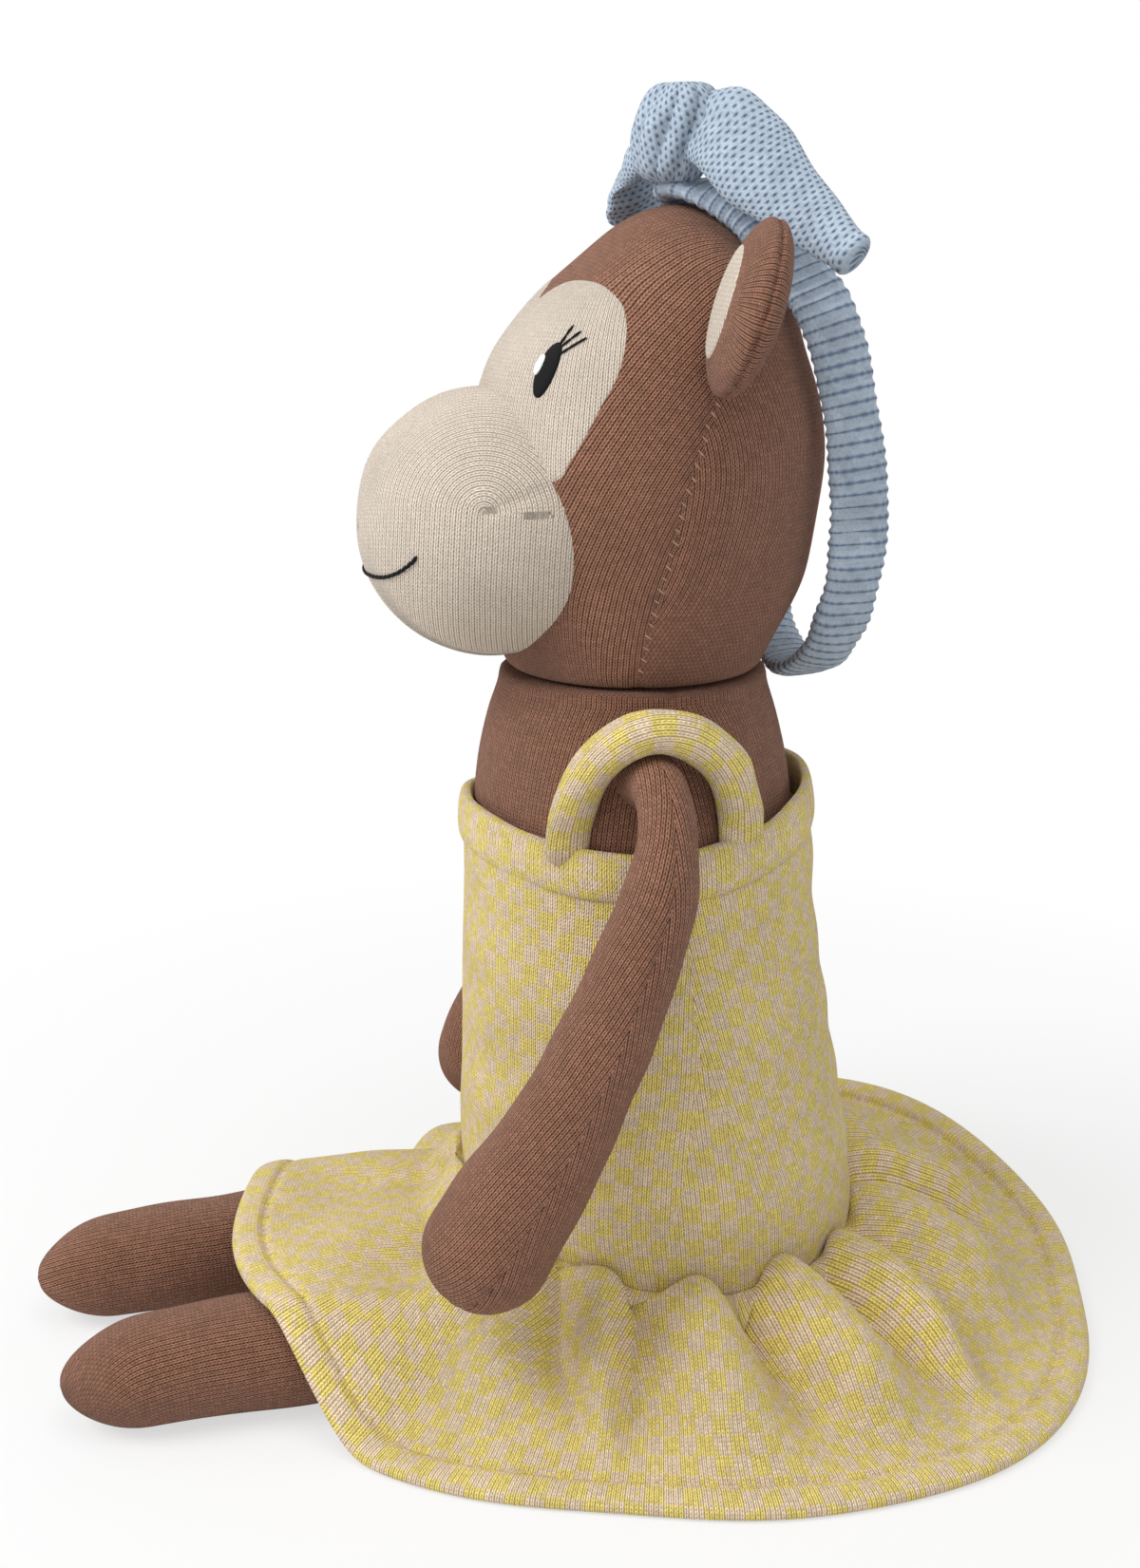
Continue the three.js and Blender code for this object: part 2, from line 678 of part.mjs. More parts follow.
// Headband: a flat band along a closed curve that stays outside the head.
function headbandGeometry() {
  const rise = headbandThickness / 2 + gap;
  // Shares of the head's half width, half depth and height, down the left side from crown to nape.
  const route = [
    [0, 0.2, 1],
    [0.32, 0.48, 0.945],
    [0.6, 0.7, 0.82],
    [0.73, 0.8, 0.72],
    [0.8, 0.9, 0.54],
    [0.8, 0.94, 0.39],
    [0.75, 0.95, 0.26],
    [0.64, 0.94, 0.14],
    [0.42, 0.92, 0.05],
    [0, 0.91, -0.01],
  ];
  const place = (side) => ([across, back, height]) => new THREE.Vector3(
    side * across * headRadius,
    headMiddle + back * (headDepth / 2),
    headBase + height * headHeight + rise,
  );
  const left = route.map(place(1));
  const right = route.slice(1, -1).reverse().map(place(-1));
  const curve = new THREE.CatmullRomCurve3([...left, ...right], true);
  const steps = 40;
  const facePower = 0.6;
  const edgePower = 0.4;
  const sections = [];
  for (let step = 0; step < steps; step++) {
    const at = curve.getPointAt(step / steps);
    const ahead = curve.getTangentAt(step / steps);
    const across = new THREE.Vector3(0, 1, 0).addScaledVector(ahead, -ahead.y).normalize();
    const out = new THREE.Vector3().crossVectors(ahead, across);
    const section = [];
    for (let corner = 0; corner < sidesOfBand; corner++) {
      const angle = (2 * Math.PI * (corner + 0.5)) / sidesOfBand;
      const over = Math.sign(Math.sin(angle)) * Math.abs(Math.sin(angle)) ** facePower;
      const along = Math.sign(Math.cos(angle)) * Math.abs(Math.cos(angle)) ** edgePower;
      const point = at.clone().addScaledVector(out, (headbandThickness / 2) * over);
      section.push(point.addScaledVector(across, (headbandWidth / 2) * along));
    }
    sections.push(section);
  }
  return cut(loop(sections), headGeometry(gap));
}

// Bow: a round knot on the band, and one soft flattened loop to each side of it.
const knotBase = headBase + headHeight + headbandThickness + 2 * gap;
const knotMiddle = new THREE.Vector3(0, headMiddle + knotSetback, knotBase + knotHeight / 2);

function knotGeometry(grow) {
  const steps = 8;
  const power = 0.8;
  const stations = [];
  for (let step = 1; step <= steps; step++) {
    const angle = (Math.PI * step) / steps;
    const radius = step === steps ? 0 : (knotRadius + grow) * Math.sin(angle) ** power;
    stations.push(new THREE.Vector2(radius, -Math.cos(angle) * (knotHeight / 2 + grow)));
  }
  stations[0].y = -knotHeight / 2;
  return turned(stations, sidesOfKnot).translate(knotMiddle.x, knotMiddle.y, knotMiddle.z);
}

function bowLoopGeometry(side, length) {
  // Shares of the loop's length, out from the knot, back and down.
  const points = [
    [0.15, 0.02, 0.02],
    [0.5, 0.07, 0.16],
    [0.76, 0.12, 0.34],
    [1, 0.17, 0.53],
  ].map(([out, back, down]) => new THREE.Vector3(
    side * out * length,
    back * length,
    -down * length,
  ));
  const widthShareAt = smooth([
    [0, 0.44],
    [0.3, 0.52],
    [0.6, 0.44],
    [0.85, 0.3],
    [1, 0.26],
  ]);
  const sideways = new THREE.Vector3(0, 0.55, 0.83).normalize();
  const loopPad = limb(
    new THREE.CatmullRomCurve3(points),
    (share) => [widthShareAt(share) * bowLoopWidth, bowLoopThickness / 2],
    sidesOfLoop,
    6,
    sideways,
  );
  loopPad.rotateZ(radians(bowTurn));
  loopPad.translate(knotMiddle.x, knotMiddle.y, knotMiddle.z);
  return cut(loopPad, knotGeometry(gap));
}

addPiece('torso', torsoGeometry(), brown);

const head = new THREE.Group();
doll.add(head);
addPiece('head', headGeometry(0), brown, head);
addPiece('muzzle', cut(muzzleBulb(0), headGeometry(gap)), cream, head);
addPiece('face_patch', facePatchGeometry(), cream, head);
addEar('left', 1, head);
addEar('right', -1, head);

const bodiceTop = (angle) => necklineAt(angle) - bandHeight - gap;
addPiece('dress_bodice', sleeve(waistAt, bodiceTop, cloth, 6), yellow);
addPiece('neckline_band', sleeve((angle) => necklineAt(angle) - bandHeight, necklineAt, cloth + bandExtra, 3), yellow);
addPiece('skirt', skirtGeometry(), yellow);

for (const [label, side, lag] of [['left', 1, 0], ['right', -1, rightArmLag]]) {
  addPiece(`strap_${label}`, strapGeometry(side), yellow);
  addPiece(`arm_${label}`, armGeometry(side, lag), brown);
  addPiece(`leg_${label}`, legGeometry(side), brown);
}

const headdress = new THREE.Group();
head.add(headdress);
addPiece('headband', headbandGeometry(), blue, headdress);
addPiece('bow_knot', knotGeometry(0), blue, headdress);
addPiece('bow_loop_left', bowLoopGeometry(1, bowLoopLength), blue, headdress);
addPiece('bow_loop_right', bowLoopGeometry(-1, bowLoopLength * rightLoopShare), blue, headdress);

export default doll;
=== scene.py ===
"""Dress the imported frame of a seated, knitted monkey doll for its picture."""

import logging
import math
from collections.abc import Callable, Sequence
from dataclasses import dataclass
from enum import Enum

import bpy
import numpy as np
from mathutils import Matrix, Vector

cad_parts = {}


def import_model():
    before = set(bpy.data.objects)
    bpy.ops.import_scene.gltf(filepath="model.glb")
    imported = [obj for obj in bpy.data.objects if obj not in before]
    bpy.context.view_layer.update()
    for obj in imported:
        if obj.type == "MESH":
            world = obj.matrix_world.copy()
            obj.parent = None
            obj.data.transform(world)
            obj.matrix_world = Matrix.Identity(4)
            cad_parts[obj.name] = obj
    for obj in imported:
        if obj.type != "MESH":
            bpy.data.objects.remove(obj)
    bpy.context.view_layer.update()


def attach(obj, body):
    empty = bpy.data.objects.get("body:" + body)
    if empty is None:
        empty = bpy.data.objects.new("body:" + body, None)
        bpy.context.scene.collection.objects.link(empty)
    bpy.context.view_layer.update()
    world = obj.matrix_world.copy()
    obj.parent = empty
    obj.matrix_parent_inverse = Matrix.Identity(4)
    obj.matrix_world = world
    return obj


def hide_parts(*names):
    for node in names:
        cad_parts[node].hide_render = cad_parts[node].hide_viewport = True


LOG = logging.getLogger("knitted_doll")

MM = 0.001
GAP = 0.3
SEAM_HOLD = 2.0
STUFFING_PRESSURE = 4.0
STUFFING_FRAMES = 20
STUFFING_CAP = 1.5
OFF_FACE = 4.0
Array = np.ndarray


@dataclass
class Spots:
    """Corners of a grid's faces, in mm and in shares round and along, each with its face's middle."""

    points: Array
    around: Array
    along: Array
    mid_points: Array
    mid_around: Array
    mid_along: Array


Knitter = Callable[[Spots], Array]


class Body(Enum):
    """Bodies of the frame that the pieces ride on."""

    TRUNK = "torso_and_dress"
    HEAD = "head"
    HEADDRESS = "headdress"
    ARM_LEFT = "arm_left"
    ARM_RIGHT = "arm_right"
    LEG_LEFT = "leg_left"
    LEG_RIGHT = "leg_right"


class Side(Enum):
    """The doll's own left or right, with its sign along X."""

    LEFT = 1
    RIGHT = -1

    @property
    def label(self) -> str:
        """Word for this side in the names of pieces."""
        return self.name.lower()


# Curves and small sums

def smoothstep(value: Array | float, low: float, high: float) -> Array:
    """Ease from 0 at low to 1 at high."""
    share = np.clip((np.asarray(value, float) - low) / (high - low), 0, 1)
    return share * share * (3 - 2 * share)


def lerp(start: Array | float, end: Array | float, share: Array | float) -> Array:
    """Blend from start to end."""
    return start + (end - start) * share


def unit(vectors: Array) -> Array:
    """Scale each vector to a length of one."""
    return vectors / np.maximum(np.linalg.norm(vectors, axis=-1, keepdims=True), 1e-9)


def soft_min(first: Array, second: Array, reach: float) -> Array:
    """Give the lower of two heights, rounded where they meet within reach."""
    blend = np.clip(0.5 + 0.5 * (second - first) / reach, 0, 1)
    return lerp(second, first, blend) - reach * blend * (1 - blend)


def soft_max(first: Array, second: Array, reach: float) -> Array:
    """Give the higher of two heights, rounded where they meet within reach."""
    return -soft_min(-first, -second, reach)


def table_normals(table: Array) -> Array:
    """Give the upper normals of a table whose columns close round."""
    along = np.gradient(table, axis=0)
    closed = np.concatenate([table[:, -2:-1], table, table[:, 1:2]], axis=1)
    return unit(np.cross(along, closed[:, 2:] - closed[:, :-2]))


def curve_through(points: Array, steps: int = 24, closed: bool = False) -> Array:
    """Lay a smooth dense line through points.

    Args:
        points: Rows of points of any dimension.
        steps: Samples between two points.
        closed: Whether the line comes back to its start.

    Returns:
        Rows of points on the line.
    """
    points = np.asarray(points, float)
    if closed:
        padded = np.vstack([points[-1:], points, points[:2]])
    else:
        first = 2 * points[0] - points[1]
        last = 2 * points[-1] - points[-2]
        padded = np.vstack([first, points, last])
    share = np.linspace(0, 1, steps, endpoint=False)[:, None]
    runs = []
    for a, b, c, d in zip(padded, padded[1:], padded[2:], padded[3:]):
        bend = 2 * a - 5 * b + 4 * c - d
        twist = -a + 3 * b - 3 * c + d
        runs.append(0.5 * (2 * b + (c - a) * share + bend * share**2 + twist * share**3))
    runs.append(padded[-2][None, :])
    return np.vstack(runs)


class Line:
    """A line that is read by even steps along it."""

    def __init__(self, points: Array) -> None:
        """Measure the line through dense points."""
        self.points = np.asarray(points, float)
        steps = np.linalg.norm(np.diff(self.points, axis=0), axis=1)
        self.run = np.concatenate([[0], np.cumsum(steps)])
        self.length = float(self.run[-1])

    def at(self, share: Array | float) -> Array:
        """Give the points at shares of the length."""
        place = np.asarray(share, float) * self.length
        return np.stack([np.interp(place, self.run, column) for column in self.points.T], -1)

    def along(self, share: Array | float) -> Array:
        """Give the directions at shares of the length."""
        share = np.asarray(share, float)
        step = 0.004
        return unit(self.at(np.clip(share + step, 0, 1)) - self.at(np.clip(share - step, 0, 1)))


def stations(pairs: Sequence[tuple[float, float]]) -> Callable[[Array], Array]:
    """Give a smooth value between stations of (position, value)."""
    dense = curve_through(np.array(pairs, float), 16)
    order = np.argsort(dense[:, 0], kind="stable")
    dense = dense[order]
    return lambda position: np.interp(position, dense[:, 0], dense[:, 1])


def lumps(points: Array, size: float, seed: int) -> Array:
    """Give a gentle uneven value round zero at each point.

    Args:
        points: Points in mm.
        size: Distance in mm from one swelling to the next.
        seed: Chooses the pattern.

    Returns:
        One value for each point, about -1 to 1.
    """
    random = np.random.default_rng(seed)
    total = np.zeros(points.shape[:-1])
    waves = 7
    for _ in range(waves):
        direction = unit(random.normal(size=3)) * 2 * math.pi / (size * random.uniform(0.75, 1.4))
        total += np.sin(points @ direction + random.uniform(0, 2 * math.pi))
    return total / math.sqrt(waves)


def distance_to(points: Array, line: Array) -> tuple[Array, Array]:
    """Measure from each point to a dense line.

    Args:
        points: Points (n, 3).
        line: Dense points (m, 3).

    Returns:
        The distance, and the share along the line of the nearest place.
    """
    nearest = np.empty(len(points))
    share = np.empty(len(points))
    for start in range(0, len(points), 4000):
        part = slice(start, start + 4000)
        gaps = np.linalg.norm(points[part, None] - line[None], axis=2)
        index = gaps.argmin(axis=1)
        nearest[part] = gaps.min(axis=1)
        share[part] = index / (len(line) - 1)
    return nearest, share


# Making pieces

def begin() -> None:
    """Leave nothing selected, in object mode."""
    if bpy.context.mode != "OBJECT":
        bpy.ops.object.mode_set(mode="OBJECT")
    bpy.ops.object.select_all(action="DESELECT")


def choose(*pieces: bpy.types.Object) -> None:
    """Select only these pieces, the first one active."""
    begin()
    for piece in pieces:
        piece.select_set(True)
    bpy.context.view_layer.objects.active = pieces[0]


def face_middles(values: Array) -> Array:
    """Give each face's mean value to its four corners."""
    faces = values.reshape(-1, 4, *values.shape[1:])
    return faces.mean(axis=1).repeat(4, axis=0)


def knit_piece(name: str, table: Array, knitter: Knitter, turn_out: bool = True) -> bpy.types.Object:
    """Add a grid of knit, lay it on a table of points, and close it where its edges meet.

    Args:
        name: Name of the new piece.
        table: Points in mm, (rows + 1, columns + 1, 3), along and round.
        knitter: Gives the place in the knit, in mm, for each corner.
        turn_out: Whether the faces are turned outwards, for a closed form.

    Returns:
        The new piece.
    """
    rows, columns = table.shape[0] - 1, table.shape[1] - 1
    begin()
    bpy.ops.mesh.primitive_grid_add(x_subdivisions=columns, y_subdivisions=rows, size=2)
    piece = bpy.context.object
    piece.name = name
    mesh = piece.data
    mesh.name = name
    flat = np.empty(len(mesh.vertices) * 3)
    mesh.vertices.foreach_get("co", flat)
    shares = (flat.reshape(-1, 3)[:, :2] + 1) / 2
    column = np.rint(shares[:, 0] * columns).astype(int)
    row = np.rint(shares[:, 1] * rows).astype(int)
    points = table[row, column]
    mesh.vertices.foreach_set("co", (points * MM).ravel())
    corners = np.empty(len(mesh.loops), int)
    mesh.loops.foreach_get("vertex_index", corners)
    knit = knitter(Spots(
        points[corners],
        shares[corners, 0],
        shares[corners, 1],
        face_middles(points[corners]),
        face_middles(shares[corners, 0]),
        face_middles(shares[corners, 1]),
    ))
    layer = mesh.uv_layers.active
    layer.name = "Knit"
    layer.data.foreach_set("uv", np.asarray(knit, float).ravel())
    bpy.ops.object.mode_set(mode="EDIT")
    bpy.ops.mesh.select_all(action="SELECT")
    bpy.ops.mesh.remove_doubles(threshold=0.00002)
    if turn_out:
        bpy.ops.mesh.normals_make_consistent(inside=False)
    bpy.ops.object.mode_set(mode="OBJECT")
    bpy.ops.object.shade_smooth()
    return piece


def read_points(piece: bpy.types.Object) -> tuple[Array, Array]:
    """Give a piece's points in mm and its normals."""
    mesh = piece.data
    points = np.empty(len(mesh.vertices) * 3)
    mesh.vertices.foreach_get("co", points)
    normals = np.empty(len(mesh.vertices) * 3)
    mesh.vertex_normals.foreach_get("vector", normals)
    return points.reshape(-1, 3) / MM, normals.reshape(-1, 3)


def write_points(piece: bpy.types.Object, points: Array) -> None:
    """Put a piece's points, in mm."""
    piece.data.vertices.foreach_set("co", (points * MM).ravel())
    piece.data.update()


def keep_level(piece: bpy.types.Object, top: float) -> None:
    """Keep a piece's points between the floor and a height in mm."""
    points, _ = read_points(piece)
    points[:, 2] = np.clip(points[:, 2], 0.0, top)
    write_points(piece, points)


def swell(piece: bpy.types.Object, amount: Callable[[Array], Array]) -> None:
    """Move a piece's points along their normals.

    Args:
        piece: The piece.
        amount: Gives the distance in mm for points in mm.
    """
    points, normals = read_points(piece)
    write_points(piece, points + normals * amount(points)[:, None])


def roughen(piece: bpy.types.Object, height: float, size: float, seed: int) -> None:
    """Give a piece gentle swellings of a height and a size in mm."""
    swell(piece, lambda points: height * lumps(points, size, seed))


def stuff(piece: bpy.types.Object, seams: Sequence[Array]) -> None:
    """Let the pressure of the stuffing round a cover between its seams.

    Args:
        piece: The cover.
        seams: Lines that hold the cover, in mm.
    """
    before, _ = read_points(piece)
    held = np.zeros(len(before), bool)
    for seam in seams:
        dense = Line(curve_through(seam, 16)).at(np.linspace(0, 1, 120))
        held |= distance_to(before, dense)[0] < SEAM_HOLD
    choose(piece)
    cloth = piece.modifiers.new("Stuffing", "CLOTH")
    group = piece.vertex_groups.new(name="Seam")
    group.add([int(index) for index in np.flatnonzero(held)], 1.0, "REPLACE")
    cloth.settings.vertex_group_mass = group.name
    cloth.settings.quality = 5
    cloth.settings.mass = 0.1
    cloth.settings.use_pressure = True
    cloth.settings.uniform_pressure_force = STUFFING_PRESSURE
    cloth.settings.effector_weights.gravity = 0
    cloth.collision_settings.use_collision = False
    for frame in range(1, STUFFING_FRAMES + 1):
        bpy.context.scene.frame_set(frame)
    bpy.ops.object.modifier_apply(modifier=cloth.name)
    piece.vertex_groups.clear()
    moved = read_points(piece)[0] - before
    far = np.linalg.norm(moved, axis=1, keepdims=True)
    write_points(piece, before + moved * np.minimum(1, STUFFING_CAP / np.maximum(far, 1e-6)))
    LOG.info("%s: stuffed, moved %.2f mm on average and %.2f at most", piece.name, far.mean(), far.max())


def make_finer(piece: bpy.types.Object) -> None:
    """Divide a cover's mesh once, which smooths it and leaves its knit in place."""
    choose(piece)
    finer = piece.modifiers.new("Finer", "SUBSURF")
    finer.levels = finer.render_levels = 1
    finer.uv_smooth = "NONE"
    bpy.ops.object.modifier_apply(modifier=finer.name)


def press_seam(
    piece: bpy.types.Object, path: Array, depth: float, width: float, pucker: float = 0.35,
) -> None:
    """Press a sewn seam into a piece, with small puckers between its stitches.

    Args:
        piece: The piece.
        path: Points in mm along the seam.
        depth: Depth in mm.
        width: Half width in mm.
        pucker: Share of the depth that comes and goes.
    """
    line = Line(curve_through(path, 16))
    dense = line.at(np.linspace(0, 1, max(int(line.length / 1.2), 8)))
    points, normals = read_points(piece)
    away, share = distance_to(points, dense)
    beat = 1 + pucker * np.cos(share * line.length * 2 * math.pi / 7)
    push = depth * beat * np.exp(-((away / width) ** 2))
    write_points(piece, points - normals * push[:, None])


def flip(piece: bpy.types.Object) -> None:
    """Turn a sheet's faces to its other side."""
    choose(piece)
    bpy.ops.object.mode_set(mode="EDIT")
    bpy.ops.mesh.select_all(action="SELECT")
    bpy.ops.mesh.flip_normals()
    bpy.ops.object.mode_set(mode="OBJECT")


def face_forward(piece: bpy.types.Object) -> None:
    """Turn a sheet's faces to the doll's front."""
    if read_points(piece)[1][:, 1].mean() > 0:
        flip(piece)


def add_thickness(piece: bpy.types.Object, thickness: float) -> None:
    """Give a sheet its thickness in mm."""
    choose(piece)
    wall = piece.modifiers.new("Wall", "SOLIDIFY")
    wall.thickness = thickness * MM
    wall.offset = -1
    wall.use_even_offset = False
    bpy.ops.object.modifier_apply(modifier=wall.name)


def finish_piece(
    piece: bpy.types.Object, body: Body, finish: "Stockinette | Thread", replaces: Sequence[str] = (),
) -> None:
    """Dress a piece, let it ride, and hide the frame's nodes that it stands for.

    Args:
        piece: The piece.
        body: The body that it rides on.
        finish: Its finish.
        replaces: Nodes of the frame that it stands for.
    """
    piece.data.materials.clear()
    piece.data.materials.append(YARNS.of(finish))
    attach(piece, body.value)
    if replaces:
        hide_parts(*replaces)
    LOG.info("%s: %d faces, on %s", piece.name, len(piece.data.polygons), body.value)


# Finishes

class Graph:
    """Wires the nodes of one material."""

    def __init__(self, name: str) -> None:
        """Start a material with its plain shader."""
        self.material = bpy.data.materials.new(name)
        self.material.use_nodes = True
        self.tree = self.material.node_tree
        self.shader = self.tree.nodes["Principled BSDF"]

    def node(self, kind: str, **settings: object) -> bpy.types.Node:
        """Add a node with its settings."""
        made = self.tree.nodes.new(kind)
        for key, value in settings.items():
            setattr(made, key, value)
        return made

    def feed(self, target: bpy.types.NodeSocket, value: object) -> None:
        """Link a socket, or set its value."""
        if isinstance(value, bpy.types.NodeSocket):
            self.tree.links.new(value, target)
        else:
            target.default_value = value

    def math(self, operation: str, *values: object) -> bpy.types.NodeSocket:
        """Add one step of arithmetic."""
        made = self.node("ShaderNodeMath", operation=operation)
        for socket, value in zip(made.inputs, values):
            self.feed(socket, value)
        return made.outputs[0]

    def fit(self, value: object, low: float, high: float, start: float, end: float) -> bpy.types.NodeSocket:
        """Bring a value from one range to another, kept inside it."""
        made = self.node("ShaderNodeMapRange", clamp=True)
        for socket, given in zip(made.inputs, (value, low, high, start, end)):
            self.feed(socket, given)
        return made.outputs[0]

    def mix(self, share: object, first: object, second: object, blend: str = "MIX") -> bpy.types.NodeSocket:
        """Mix two colours."""
        made = self.node("ShaderNodeMix", data_type="RGBA", blend_type=blend)
        self.feed(made.inputs["Factor"], share)
        self.feed(made.inputs[6], first)
        self.feed(made.inputs[7], second)
        return made.outputs[2]

    def shade(self, colour: object, tone: object) -> None:
        """Multiply a colour by a tone, as the shader's own colour."""
        grey = self.node("ShaderNodeCombineColor")
        for socket in grey.inputs[:3]:
            self.feed(socket, tone)
        self.feed(self.shader.inputs["Base Color"], self.mix(1.0, colour, grey.outputs[0], "MULTIPLY"))

    def raise_surface(self, height: object, distance: float, strength: float = 1.0) -> None:
        """Let a height from 0 to 1 stand out by a distance in mm."""
        bump = self.node("ShaderNodeBump")
        bump.inputs["Strength"].default_value = strength
        bump.inputs["Distance"].default_value = distance * MM
        self.feed(bump.inputs["Height"], height)
        self.feed(self.shader.inputs["Normal"], bump.outputs[0])

    def knit_place(self) -> tuple[bpy.types.NodeSocket, bpy.types.NodeSocket]:
        """Give the place in the knit, across and up, in mm."""
        split = self.node("ShaderNodeSeparateXYZ")
        self.feed(split.inputs[0], self.node("ShaderNodeUVMap", uv_map="Knit").outputs[0])
        return split.outputs[0], split.outputs[1]

    def noise(self, per_metre: float, detail: float = 2.0) -> bpy.types.NodeSocket:
        """Add soft noise on the piece's own coordinates."""
        place = self.node("ShaderNodeTexCoord").outputs["Object"]
        made = self.node("ShaderNodeTexNoise")
        self.feed(made.inputs["Vector"], place)
        made.inputs["Scale"].default_value = per_metre
        made.inputs["Detail"].default_value = detail
        return made.outputs[0]

    def dots(self, first: object, second: object, seed: float = 0.0) -> bpy.types.NodeSocket:
        """Give a random value for each pair of whole numbers."""
        place = self.node("ShaderNodeCombineXYZ")
        self.feed(place.inputs[0], first)
        self.feed(place.inputs[1], second)
        place.inputs[2].default_value = seed
        made = self.node("ShaderNodeTexWhiteNoise", noise_dimensions="3D")
        self.feed(made.inputs["Vector"], place.outputs[0])
        return made.outputs["Value"]


def srgb(red: int, green: int, blue: int) -> tuple[float, float, float, float]:
    """Turn a screen colour into a linear one."""
    linear = []
    for value in (red, green, blue):
        share = value / 255
        linear.append(share / 12.92 if share <= 0.04045 else ((share + 0.055) / 1.055) ** 2.4)
    return (*linear, 1.0)


@dataclass(frozen=True)
class Stockinette:
    """Plain knit: columns of V-shaped stitches, with heathered yarn and a light fuzz.

    Sizes are in mm. Light is the yarn's colour on the tops of the stitches; the valley colour is painted
    shade in the valleys between them, which on the checked knit also holds the yarn seen in the gaps.
    """

    name: str
    slot: str
    light: tuple[float, float, float, float]
    shaded_valley: tuple[float, float, float, float]
    wale: float = 1.4
    course: float = 1.1
    relief: float = 0.28
    heather: float = 0.2
    sheen: float = 0.1
    drift: float = 0.8

    def wander(self, graph: Graph, per_metre: float) -> bpy.types.NodeSocket:
        """Give how far the rows or columns stray, in mm."""
        return graph.math("MULTIPLY_ADD", graph.noise(per_metre), self.drift, -self.drift / 2)

    def cell(self, graph: Graph) -> dict[str, bpy.types.NodeSocket]:
        """Lay the stitches out from the piece's knit coordinates.

        Args:
            graph: The material's nodes.

        Returns:
            Sockets for the relief's height and for the wale and the course of the stitch.
        """
        across, up = graph.knit_place()
        across = graph.math("DIVIDE", graph.math("ADD", across, self.wander(graph, 70.0)), self.wale)
        up = graph.math("DIVIDE", graph.math("ADD", up, self.wander(graph, 90.0)), self.course)
        column = graph.math("FLOOR", across)
        away = graph.math("ABSOLUTE", graph.math("SUBTRACT", graph.math("FRACT", across), 0.5))
        leg = graph.math("SUBTRACT", graph.math("MULTIPLY", away, 4.0), 1.0)
        round_leg = graph.math("SQRT", graph.math("SUBTRACT", 1.0, graph.math("MULTIPLY", leg, leg)))
        slant = graph.math("MULTIPLY_ADD", away, -1.5, up)
        row = graph.math("FLOOR", slant)
        turn = graph.math("MULTIPLY", graph.math("FRACT", slant), 2 * math.pi)
        beat = graph.math("MULTIPLY_ADD", graph.math("COSINE", turn), -0.5, 0.5)
        stitch = graph.math("MULTIPLY", round_leg, graph.math("MULTIPLY_ADD", beat, 0.5, 0.5))
        edge = graph.fit(away, 0.3, 0.5, 1.0, 0.35)
        return {"height": graph.math("MULTIPLY", stitch, edge), "wale": column, "course": row}

    def yarn(self, graph: Graph, cell: dict[str, bpy.types.NodeSocket]) -> tuple[object, object]:
        """Give the yarn's colour on the stitches' tops, and the painted shade of the valleys between them."""
        return self.light, self.shaded_valley

    def material(self) -> bpy.types.Material:
        """Make the finish."""
        graph = Graph(self.name)
        cell = self.cell(graph)
        light, shaded_valley = self.yarn(graph, cell)
        height = cell["height"]
        # Painted shade: the colour darkens toward the valley colour where the stitch relief is low, between
        # the stitches and at the edges of each wale.
        colour = graph.mix(graph.fit(height, 0.08, 0.8, 0.0, 1.0), shaded_valley, light)
        fleck = graph.dots(cell["wale"], cell["course"], 4.0)
        fibre = graph.noise(1500.0, 3.0)
        patch = graph.noise(45.0, 2.0)
        tone = graph.math("MULTIPLY_ADD", fleck, self.heather, 1.0 - self.heather / 2)
        tone = graph.math("MULTIPLY", tone, graph.fit(fibre, 0.25, 0.75, 0.86, 1.14))
        tone = graph.math("MULTIPLY", tone, graph.fit(patch, 0.3, 0.7, 0.95, 1.05))
        graph.shade(colour, tone)
        graph.feed(graph.shader.inputs["Roughness"], graph.fit(height, 0.0, 1.0, 0.98, 0.86))
        graph.shader.inputs["Specular IOR Level"].default_value = 0.15
        graph.shader.inputs["Sheen Weight"].default_value = self.sheen
        graph.shader.inputs["Sheen Roughness"].default_value = 0.45
        fuzz = graph.fit(fibre, 0.2, 0.8, -0.12, 0.12)
        graph.raise_surface(graph.math("ADD", height, fuzz), self.relief)
        return graph.material


@dataclass(frozen=True)
class Jacquard(Stockinette):
    """Stockinette in small checks of two heathered yarns."""

    other: tuple[float, float, float, float] = (0.6, 0.5, 0.35, 1.0)
    # The second yarn's valley colour: painted shade between the stitches, partly the yarn seen in the gaps.
    other_shaded_valley: tuple[float, float, float, float] = (0.3, 0.2, 0.1, 1.0)
    check_wales: float = 4.0
    check_courses: float = 5.0
    stray: float = 0.2

    def yarn(self, graph: Graph, cell: dict[str, bpy.types.NodeSocket]) -> tuple[object, object]:
        """Choose one of the two yarns for each stitch, by check, with some strays, each with the painted
        shade of its valleys.
        """
        across = graph.math("FLOOR", graph.math("DIVIDE", cell["wale"], self.check_wales))
        up = graph.math("FLOOR", graph.math("DIVIDE", cell["course"], self.check_courses))
        odd = graph.math("FLOORED_MODULO", graph.math("ADD", across, up), 2.0)
        stray = graph.math("LESS_THAN", graph.dots(cell["wale"], cell["course"], 9.0), self.stray)
        pick = graph.math("ABSOLUTE", graph.math("SUBTRACT", odd, stray))
        pick = graph.fit(pick, 0.0, 1.0, 0.06, 0.94)
        return graph.mix(pick, self.light, self.other), graph.mix(pick, self.shaded_valley, self.other_shaded_valley)


